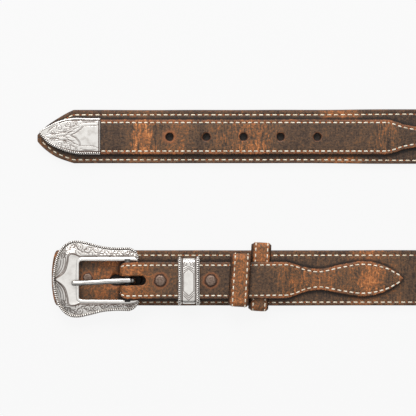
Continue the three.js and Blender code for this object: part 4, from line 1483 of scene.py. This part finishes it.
def make_worn_leather_group():
    """Distressed leather: worn patches, fine creases across the strap, pebbled grain, its edges, and painted
    shade, with some grime, beside and under the pieces laid on it.
    """
    inputs = [
        ("Place", "NodeSocketVector", None),
        ("Tone", "NodeSocketFloat", 0.5),
        ("Crease", "NodeSocketFloat", 0.5),
        ("Edge", "NodeSocketFloat", 5.0),
        ("Beside", "NodeSocketFloat", CLEAR),
        ("Burnish", "NodeSocketFloat", 0.5),
    ]
    outputs = [
        ("Color", "NodeSocketColor"),
        ("Roughness", "NodeSocketFloat"),
        ("Height", "NodeSocketFloat"),
    ]
    tree, given, made = new_group("worn_leather", inputs, outputs)
    place, edge = given.outputs["Place"], given.outputs["Edge"]
    cloud = noise_of(tree, place, 70.0, 5.0, 0.6, 0.5)
    smudge = noise_of(tree, place, 240.0, 4.0, 0.65, 0.3)
    grain = noise_of(tree, place, 620.0, 2.0, 0.6)
    speck = noise_of(tree, place, 1300.0, 2.0, 0.6)
    fibre = noise_of(tree, stretched(tree, place, (640.0, 90.0, 1.0)), 1.0, 3.0, 0.6, 1.1)
    tone = given.outputs["Tone"]
    liveliness = span(tree, tone, 0.3, 0.65, 0.72, 1.05)
    for source, weight in ((cloud, 0.5), (smudge, 0.65), (grain, 1.05), (speck, 0.75)):
        tone = plus(tree, tone, times(tree, swing(tree, source, weight), liveliness))
    creased = times(tree, swing(tree, fibre, 2.3), given.outputs["Crease"])
    tone = plus(tree, tone, creased, clamp=True)
    colour = ramp(tree, tone, LEATHER_TONES)
    ragged = plus(tree, edge, swing(tree, smudge, 3.2))
    band = times(tree, span(tree, ragged, 0.9, 2.2, 1.0, 0.0), given.outputs["Burnish"])
    band = times(tree, band, span(tree, cloud, 0.4, 0.56, 0.25, 1.0))
    burnt = blend_colour(tree, span(tree, grain, 0.3, 0.7), tint(122, 70, 38), tint(184, 112, 66))
    colour = blend_colour(tree, band, colour, burnt)
    rim = times(tree, span(tree, ragged, 0.1, 0.6, 1.0, 0.0), 0.75)
    rim = calc(tree, "MAXIMUM", rim, span(tree, edge, -0.6, 0.0, 0.9, 0.0))
    colour = blend_colour(tree, rim, colour, tint(46, 31, 22))
    # Painted shade, with some grime: the leather is darkened near and under the pieces laid on it.
    beside = plus(tree, given.outputs["Beside"], times(tree, smudge, 1.2))
    grime_and_painted_shade = span(tree, beside, 0.9, 3.4, 0.86, 0.0)
    colour = blend_colour(tree, grime_and_painted_shade, colour, tint(24, 17, 13))
    height = times(tree, grain, 0.3)
    height = plus(tree, height, times(tree, smudge, 0.2))
    height = plus(tree, height, times(tree, speck, 0.1))
    height = plus(tree, height, times(tree, times(tree, fibre, given.outputs["Crease"]), 0.3))
    rough = span(tree, plus(tree, smudge, times(tree, tone, 0.25)), 0.35, 0.95, 0.46, 0.72)
    for label, value in (("Color", colour), ("Roughness", rough), ("Height", height)):
        tree.links.new(value, made.inputs[label])
    return tree


def make_stain_group():
    """A dark ring with a rust halo round a place on the strap, as metal leaves on leather."""
    inputs = [
        ("Place", "NodeSocketVector", None),
        ("Centre", "NodeSocketVector", None),
        ("Radius", "NodeSocketFloat", 0.004),
        ("Halo", "NodeSocketFloat", 0.007),
    ]
    tree, given, made = new_group(
        "metal_stain", inputs, [("Ring", "NodeSocketFloat"), ("Halo", "NodeSocketFloat")]
    )
    spread_out = noise_of(tree, given.outputs["Place"], 320.0, 2.0)
    away = add(
        tree,
        "ShaderNodeVectorMath",
        {0: given.outputs["Place"], 1: given.outputs["Centre"]},
        operation="DISTANCE",
    ).outputs["Value"]
    away = plus(tree, away, swing(tree, spread_out, 0.0022))
    radius = given.outputs["Radius"]
    ring = span(tree, away, radius, times(tree, radius, 1.25), 1.0, 0.0)
    halo = span(tree, away, radius, given.outputs["Halo"], 1.0, 0.0)
    tree.links.new(ring, made.inputs["Ring"])
    tree.links.new(halo, made.inputs["Halo"])
    return tree


def new_material(name):
    material = bpy.data.materials.new(name)
    material.use_nodes = True
    tree = material.node_tree
    return material, tree, tree.nodes["Principled BSDF"]


def dress(tree, shader, colour, rough, height, strength, depth):
    """Gives a shader its colour, its roughness and a relief as deep as depth, in millimetres."""
    relief = add(tree, "ShaderNodeBump", {"Height": height, "Strength": strength, "Distance": depth * MM})
    feed(tree, shader.inputs["Base Color"], colour)
    feed(tree, shader.inputs["Roughness"], rough)
    feed(tree, shader.inputs["Normal"], relief.outputs[0])


def make_leather(name, length, tones, creases, burnish, stains=()):
    """Leather whose worn and dark stretches lie along the strap as in the photo.

    tones, creases and burnish list places in millimetres along the piece with a value from 0 to 1."""
    material, tree, shader = new_material(name)
    lie = texture_place(tree, "along")
    edge = add(tree, "ShaderNodeSeparateXYZ", {0: texture_place(tree, "edge")})
    wander = noise_of(tree, lie, 90.0, 3.0)
    along = add(tree, "ShaderNodeSeparateXYZ", {0: lie}).outputs[0]
    along = plus(tree, along, swing(tree, wander, 0.014))
    share = calc(tree, "DIVIDE", along, length * MM)
    tone, crease, burnt = (
        ramp(tree, share, [(x / length, (value, value, value, 1)) for x, value in stops])
        for stops in (tones, creases, burnish)
    )
    leather = add(tree, "ShaderNodeGroup", node_tree=GROUPS["worn_leather"])
    for key, value in (("Place", lie), ("Tone", tone), ("Crease", crease), ("Burnish", burnt)):
        tree.links.new(value, leather.inputs[key])
    tree.links.new(edge.outputs[0], leather.inputs["Edge"])
    tree.links.new(edge.outputs[1], leather.inputs["Beside"])
    colour = leather.outputs["Color"]
    for x, v, radius, halo in stains:
        stain = add(tree, "ShaderNodeGroup", node_tree=GROUPS["metal_stain"])
        tree.links.new(lie, stain.inputs["Place"])
        stain.inputs["Centre"].default_value = (x * MM, v * MM, 0)
        stain.inputs["Radius"].default_value = radius * MM
        stain.inputs["Halo"].default_value = halo * MM
        for part, weight, mark in (("Halo", 0.75, tint(158, 94, 54)), ("Ring", 0.85, tint(34, 22, 16))):
            colour = blend_colour(tree, times(tree, stain.outputs[part], weight), colour, mark)
    dress(tree, shader, colour, leather.outputs["Roughness"], leather.outputs["Height"], 0.9, 1.0)
    shader.inputs["Specular IOR Level"].default_value = 0.35
    return material


# Stops along each strap, in millimetres from its tip or point. TONES run from dark to rust, CREASES say how
# far fine creases show, and BURNISH says how far the edges are rubbed to rust.
BASE_TONES = (
    (0, 0.44), (30, 0.32), (62, 0.33), (68, 0.5), (74, 0.48), (84, 0.31), (192, 0.3),
    (200, 0.62), (218, 0.6), (226, 0.32), (240, 0.24), (264, 0.22), (300, 0.36), (420, 0.5),
    (560, 0.36), (700, 0.5), (846, 0.26), (862, 0.28), (869, 0.4), (880, 0.5), (890, 0.6),
    (898, 0.56), (908, 0.33), (985, 0.32), (1040, 0.36), (1056, 0.56), (1066, 0.66),
    (1077, 0.6), (1084, 0.44), (1092, 0.42), (1109, 0.6),
)
BASE_CREASES = ((0, 0.15), (300, 0.3), (560, 0.6), (800, 0.3), (1109, 0.25))
BILLET_TONES = (
    (0, 0.5), (44, 0.24), (58, 0.28), (64, 0.4), (68, 0.66), (78, 0.66), (82, 0.34), (86, 0.38),
    (98, 0.52), (106, 0.42), (112, 0.3), (118, 0.36), (124, 0.44), (134, 0.42), (141, 0.6),
    (152, 0.56), (160, 0.44), (168, 0.38), (178, 0.3), (196, 0.33), (230, 0.34), (236, 0.44),
    (246, 0.42), (252, 0.3), (322, 0.32),
)
BILLET_CREASES = (
    (0, 0.1), (62, 0.15), (67, 0.7), (80, 0.7), (88, 0.15), (118, 0.3), (136, 0.7), (156, 0.7),
    (168, 0.2), (228, 0.15), (236, 0.8), (246, 0.7), (252, 0.2), (322, 0.2),
)
OVERLAY_TONED = 264.0  # length of the buckle overlay, from its point, that its stops are spread over
OVERLAY_TONES = (
    (0, 0.6), (5, 0.42), (8, 0.34), (12, 0.38), (15, 0.62), (30, 0.62), (34, 0.46), (46, 0.44),
    (50, 0.54), (68, 0.54), (76, 0.52), (84, 0.44), (90, 0.36), (106, 0.34), (122, 0.28),
    (130, 0.36), (145, 0.36), (158, 0.38), (168, 0.42), (180, 0.62), (205, 0.7), (264, 0.4),
)
OVERLAY_CREASES = (
    (0, 0.2), (14, 0.5), (30, 0.5), (36, 0.2), (70, 0.6), (84, 0.5), (90, 0.1), (170, 0.1),
    (264, 0.3),
)
OVERLAY_BURNISH = ((0, 0.5), (40, 0.5), (60, 0.7), (88, 0.7), (104, 0.2), (178, 0.2), (192, 0.7), (264, 0.6))
BILLET_BURNISH = ((0, 0.7), (322, 0.6))
FAINT_BURNISH = ((0, 0.15), (1109, 0.15))
# Along the loops the places run round them, from the middle of the back
LOOP_CREASES = ((0, 0.1), (94, 0.1))
NARROW_TONES = ((0, 0.5), (12, 0.58), (20, 0.62), (54, 0.61), (72, 0.56))
WIDE_TONES = ((0, 0.5), (20, 0.54), (28, 0.55), (60, 0.62), (72, 0.64), (94, 0.5))


def make_silver(name, roughness, tarnish, plate_film=0.0, shade=1.0):
    """Silver with tarnish in its engraved lines, faint scratches and softly uneven polish; the last argument
    dims all of it, as painted shade.
    """
    material, tree, shader = new_material(name)
    where = object_place(tree)
    cut = add(tree, "ShaderNodeAttribute", attribute_name="engraved").outputs["Fac"]
    plate = add(tree, "ShaderNodeSeparateXYZ", {0: texture_place(tree, "edge")}).outputs[1]
    smear = noise_of(tree, where, 260.0, 4.0, 0.6)
    fleck = noise_of(tree, where, 1900.0, 2.0, 0.5)
    sway = noise_of(tree, where, 105.0, 1.0, 0.4)
    deep = span(tree, cut, 0.1, 0.85)
    film = times(tree, span(tree, smear, 0.4, 0.75), tarnish)
    film = plus(tree, film, times(tree, plate, plate_film), clamp=True)
    bright = blend_colour(tree, film, dimmed(245, 242, 237, shade), dimmed(152, 143, 135, shade))
    bright = blend_colour(tree, times(tree, fleck, 0.15), bright, dimmed(140, 130, 124, shade))
    colour = blend_colour(tree, times(tree, deep, 0.93), bright, dimmed(76, 54, 43, shade))
    worn = span(tree, smear, 0.3, 0.8, roughness, roughness + 0.12)
    rough = plus(tree, worn, times(tree, deep, 0.25))
    grain = plus(tree, times(tree, smear, 0.06), times(tree, fleck, 0.01))
    grain = plus(tree, grain, times(tree, sway, 0.7))
    dress(tree, shader, colour, rough, grain, 0.4, 1.0)
    shader.inputs["Metallic"].default_value = 1.0
    return material


BRONZE_TONES = ((0.3, tint(88, 70, 60)), (0.5, tint(126, 106, 94)), (0.72, tint(156, 136, 124)))


def make_old_bronze():
    material, tree, shader = new_material("old_bronze")
    patch = noise_of(tree, object_place(tree), 900.0, 4.0, 0.6)
    colour = ramp(tree, patch, BRONZE_TONES)
    dress(tree, shader, colour, span(tree, patch, 0.3, 0.7, 0.42, 0.6), patch, 0.5, 0.2)
    shader.inputs["Metallic"].default_value = 0.85
    return material


def make_thread(name, clean, soiled):
    """Two-ply thread, soiled in places."""
    material, tree, shader = new_material(name)
    wound = stretched(tree, texture_place(tree, "along"), (2.2, 1.4, 1.0))
    ply = add(tree, "ShaderNodeTexWave", {"Vector": wound, "Scale": 0.9}).outputs["Fac"]
    grime_and_painted_shade = noise_of(tree, object_place(tree), 420.0, 3.0)
    colour = blend_colour(tree, span(tree, grime_and_painted_shade, 0.4, 0.8), clean, soiled)
    colour = blend_colour(tree, times(tree, ply, 0.18), colour, tint(140, 116, 88))
    dress(tree, shader, colour, 0.8, ply, 0.5, 0.15)
    return material


def make_plain_leather(name, dark, light, rough):
    """Leather without a finish: the flesh side, cut walls and the pinched spots between stitches; the hole
    walls are coloured near black as painted shade, and the slot walls pale, partly as painted light.
    """
    material, tree, shader = new_material(name)
    where = object_place(tree)
    nap = noise_of(tree, where, 700.0, 5.0, 0.65)
    cloud = noise_of(tree, where, 60.0, 3.0)
    mixed = plus(tree, times(tree, nap, 0.6), times(tree, cloud, 0.4))
    colour = blend_colour(tree, span(tree, mixed, 0.35, 0.65), dark, light)
    dress(tree, shader, colour, rough, nap, 0.8, 0.4)
    return material


def make_floor_material():
    material, tree, shader = new_material("pale_floor")
    shader.inputs["Base Color"].default_value = (0.05, 0.05, 0.05, 1)
    shader.inputs["Roughness"].default_value = 1.0
    shader.inputs["Specular IOR Level"].default_value = 0.0
    shader.inputs["Emission Color"].default_value = (1, 1, 1, 1)
    shader.inputs["Emission Strength"].default_value = FLOOR_GLOW
    return material


GROUPS = {"worn_leather": make_worn_leather_group(), "metal_stain": make_stain_group()}


def snap_stains():
    """Stains round the snaps, in the buckle overlay's own length and width."""
    stations = overlay_route()
    stains = []
    for x in SNAP_PLACES.values():
        for (before, _, near, _), (after, _, far, _) in zip(stations, stations[1:]):
            if after.x <= x:
                break
        length = mix(near, far, (before.x - x) / (before.x - after.x))
        stains.append((length, 0.0, SNAP_RADIUS + 0.5, SNAP_RADIUS + 3.0))
    return stains


def base_stains():
    """Stains round the rivet and round the end of the slot under the fold."""
    end = STRAP_LENGTH + BASE_END
    return [
        (end - RIVET_PLACE, 0.0, RIVET_RADIUS + 0.1, RIVET_RADIUS + 2.4),
        (end - BAR_PLACE + 8.8, OVERLAY_SHIFT, 3.8, 7.5),
    ]


def hole_stains():
    stains = [(HOLE_START, 0.0, HOLE_RADIUS + 0.1, HOLE_RADIUS + 3.6)]
    for i in range(1, HOLE_COUNT):
        stains.append((HOLE_START + i * HOLE_SPACING, 0.0, HOLE_RADIUS + 0.1, HOLE_RADIUS + 1.0))
    return stains


MATERIALS = {
    "base_leather": make_leather(
        "base_leather", STRAP_LENGTH, BASE_TONES, BASE_CREASES, FAINT_BURNISH, base_stains()
    ),
    "billet_leather": make_leather(
        "billet_leather", BILLET_LENGTH, BILLET_TONES, BILLET_CREASES, BILLET_BURNISH, hole_stains()
    ),
    "overlay_leather": make_leather(
        "overlay_leather", OVERLAY_TONED, OVERLAY_TONES, OVERLAY_CREASES, OVERLAY_BURNISH, snap_stains()
    ),
    "narrow_loop_leather": make_leather(
        "narrow_loop_leather", 4 * NARROW_HALF, NARROW_TONES, LOOP_CREASES, FAINT_BURNISH
    ),
    "wide_loop_leather": make_leather(
        "wide_loop_leather", 4 * WIDE_HALF, WIDE_TONES, LOOP_CREASES, FAINT_BURNISH
    ),
    "flesh_side": make_plain_leather("flesh_side", tint(104, 72, 48), tint(150, 110, 78), 0.9),
    # Partly the cut leather's own tan and partly painted light: pale walls stand for light reaching into the
    # deep slots.
    "slot_wall_painted_light": make_plain_leather("slot_wall_painted_light", tint(138, 98, 70), tint(190, 140, 102), 0.8),
    # Painted shade: near black walls stand for the shade inside the billet's holes.
    "hole_wall_painted_shade": make_plain_leather("hole_wall_painted_shade", tint(9, 6, 4), tint(26, 17, 11), 0.95),
    "stitch_hole": make_plain_leather("stitch_hole", tint(70, 38, 20), tint(176, 98, 50), 0.8),
    "thread": make_thread("thread", tint(242, 234, 216), tint(186, 164, 132)),
    "base_thread": make_thread("base_thread", tint(250, 238, 214), tint(206, 182, 148)),
    "silver": make_silver("silver", 0.27, 0.25, 0.15),
    "tip_silver": make_silver("tip_silver", 0.25, 0.5),
    # Painted shade: the prong is a dimmed copy of the silver.
    "prong_silver": make_silver("prong_silver", 0.16, 0.5, 0.0, 0.72),
    # Painted shade: the bar under the fold is made near black, with heavy tarnish, for the shadow it lies
    # in.
    "bar_silver": make_silver("bar_silver", 0.5, 0.9, 0.0, 0.12),
    "rope_silver": make_silver("rope_silver", 0.3, 0.3),
    "old_bronze": make_old_bronze(),
}


# Studio: floor, light and camera

PHOTO_SIZE = 416
PHOTO_SCALE = 0.6893  # millimetres to a pixel
PHOTO_NOSE_X = 37.4  # where the base strap's nose lies in the photo
PHOTO_MID_Y = 207.2  # the line midway between the two straps
CAMERA_HEIGHT = 1100.0

# The light, in metres and watts, and the strength of the sky
LIGHT_SIZE = (1.2, 0.7)
LIGHT_POWER = 17.0
LIGHT_PLACE = (-0.25, 1.0, 0.8)
LIGHT_AIM = (-0.15, 0.0, 0.0)
SKY_STRENGTH = 0.93
FLOOR_GLOW = 0.888
FLOOR_SIZE = 3.0
FLOOR_DROP = 0.0004


def make_floor():
    bm = bmesh.new()
    bmesh.ops.create_grid(bm, x_segments=1, y_segments=1, size=FLOOR_SIZE)
    bmesh.ops.translate(bm, verts=bm.verts, vec=Vector((0, 0, -FLOOR_DROP)))
    floor = piece_from("floor", bm)
    floor.data.materials.append(make_floor_material())


def make_light():
    """A soft window beyond the tip end's row."""
    data = bpy.data.lights.new("window_light", "AREA")
    data.shape = "RECTANGLE"
    data.size, data.size_y = LIGHT_SIZE
    data.energy = LIGHT_POWER
    light = bpy.data.objects.new("window_light", data)
    light.location = LIGHT_PLACE
    aim = Vector(LIGHT_AIM) - Vector(LIGHT_PLACE)
    light.rotation_mode = "QUATERNION"
    light.rotation_quaternion = aim.to_track_quat("-Z", "Y")
    bpy.context.scene.collection.objects.link(light)


def make_sky():
    """A white studio, brightest overhead and dark near the floor, which the silver mirrors."""
    world = bpy.data.worlds.new("studio")
    world.use_nodes = True
    tree = world.node_tree
    direction = add(tree, "ShaderNodeTexCoord").outputs["Generated"]
    split = add(tree, "ShaderNodeSeparateXYZ", {0: direction})
    overhead = span(tree, split.outputs[2], 0.25, 1.0, 0.06, 0.98)
    sideways = span(tree, split.outputs[1], -0.7, 0.7, -0.06, 0.16)
    leftward = span(tree, split.outputs[0], -0.8, -0.15, 0.16, 0.0)
    level = plus(tree, plus(tree, overhead, sideways), leftward, clamp=True)
    background = tree.nodes["Background"]
    grey = ramp(tree, level, [(0.0, (0.0, 0.0, 0.0, 1)), (1.0, (1.0, 1.0, 1.0, 1))])
    feed(tree, background.inputs["Color"], grey)
    feed(tree, background.inputs["Strength"], SKY_STRENGTH)
    bpy.context.scene.world = world


def make_camera():
    data = bpy.data.cameras.new("camera")
    data.sensor_width = 36.0
    half_view = PHOTO_SIZE / 2 * PHOTO_SCALE
    data.lens = data.sensor_width / 2 * (CAMERA_HEIGHT - SEAT) / half_view
    camera = bpy.data.objects.new("camera", data)
    middle = PHOTO_SIZE / 2
    x = (middle - PHOTO_NOSE_X) * PHOTO_SCALE
    y = (PHOTO_MID_Y - middle) * PHOTO_SCALE
    camera.location = spot(x, y, CAMERA_HEIGHT)
    bpy.context.scene.collection.objects.link(camera)
    bpy.context.scene.camera = camera


make_camera()
make_base_strap()
make_billet()
make_buckle_overlay()
sew_base()
sew("billet", billet_stitch_rows())
sew("buckle_overlay", overlay_stitch_rows())
make_leather_loops()
make_frame_body()
make_frame_rope()
make_bar()
make_prong()
make_metal_keeper()
make_tip_cap()
make_fasteners()
make_floor()
make_sky()
make_light()
bpy.context.scene.view_settings.view_transform = "Standard"
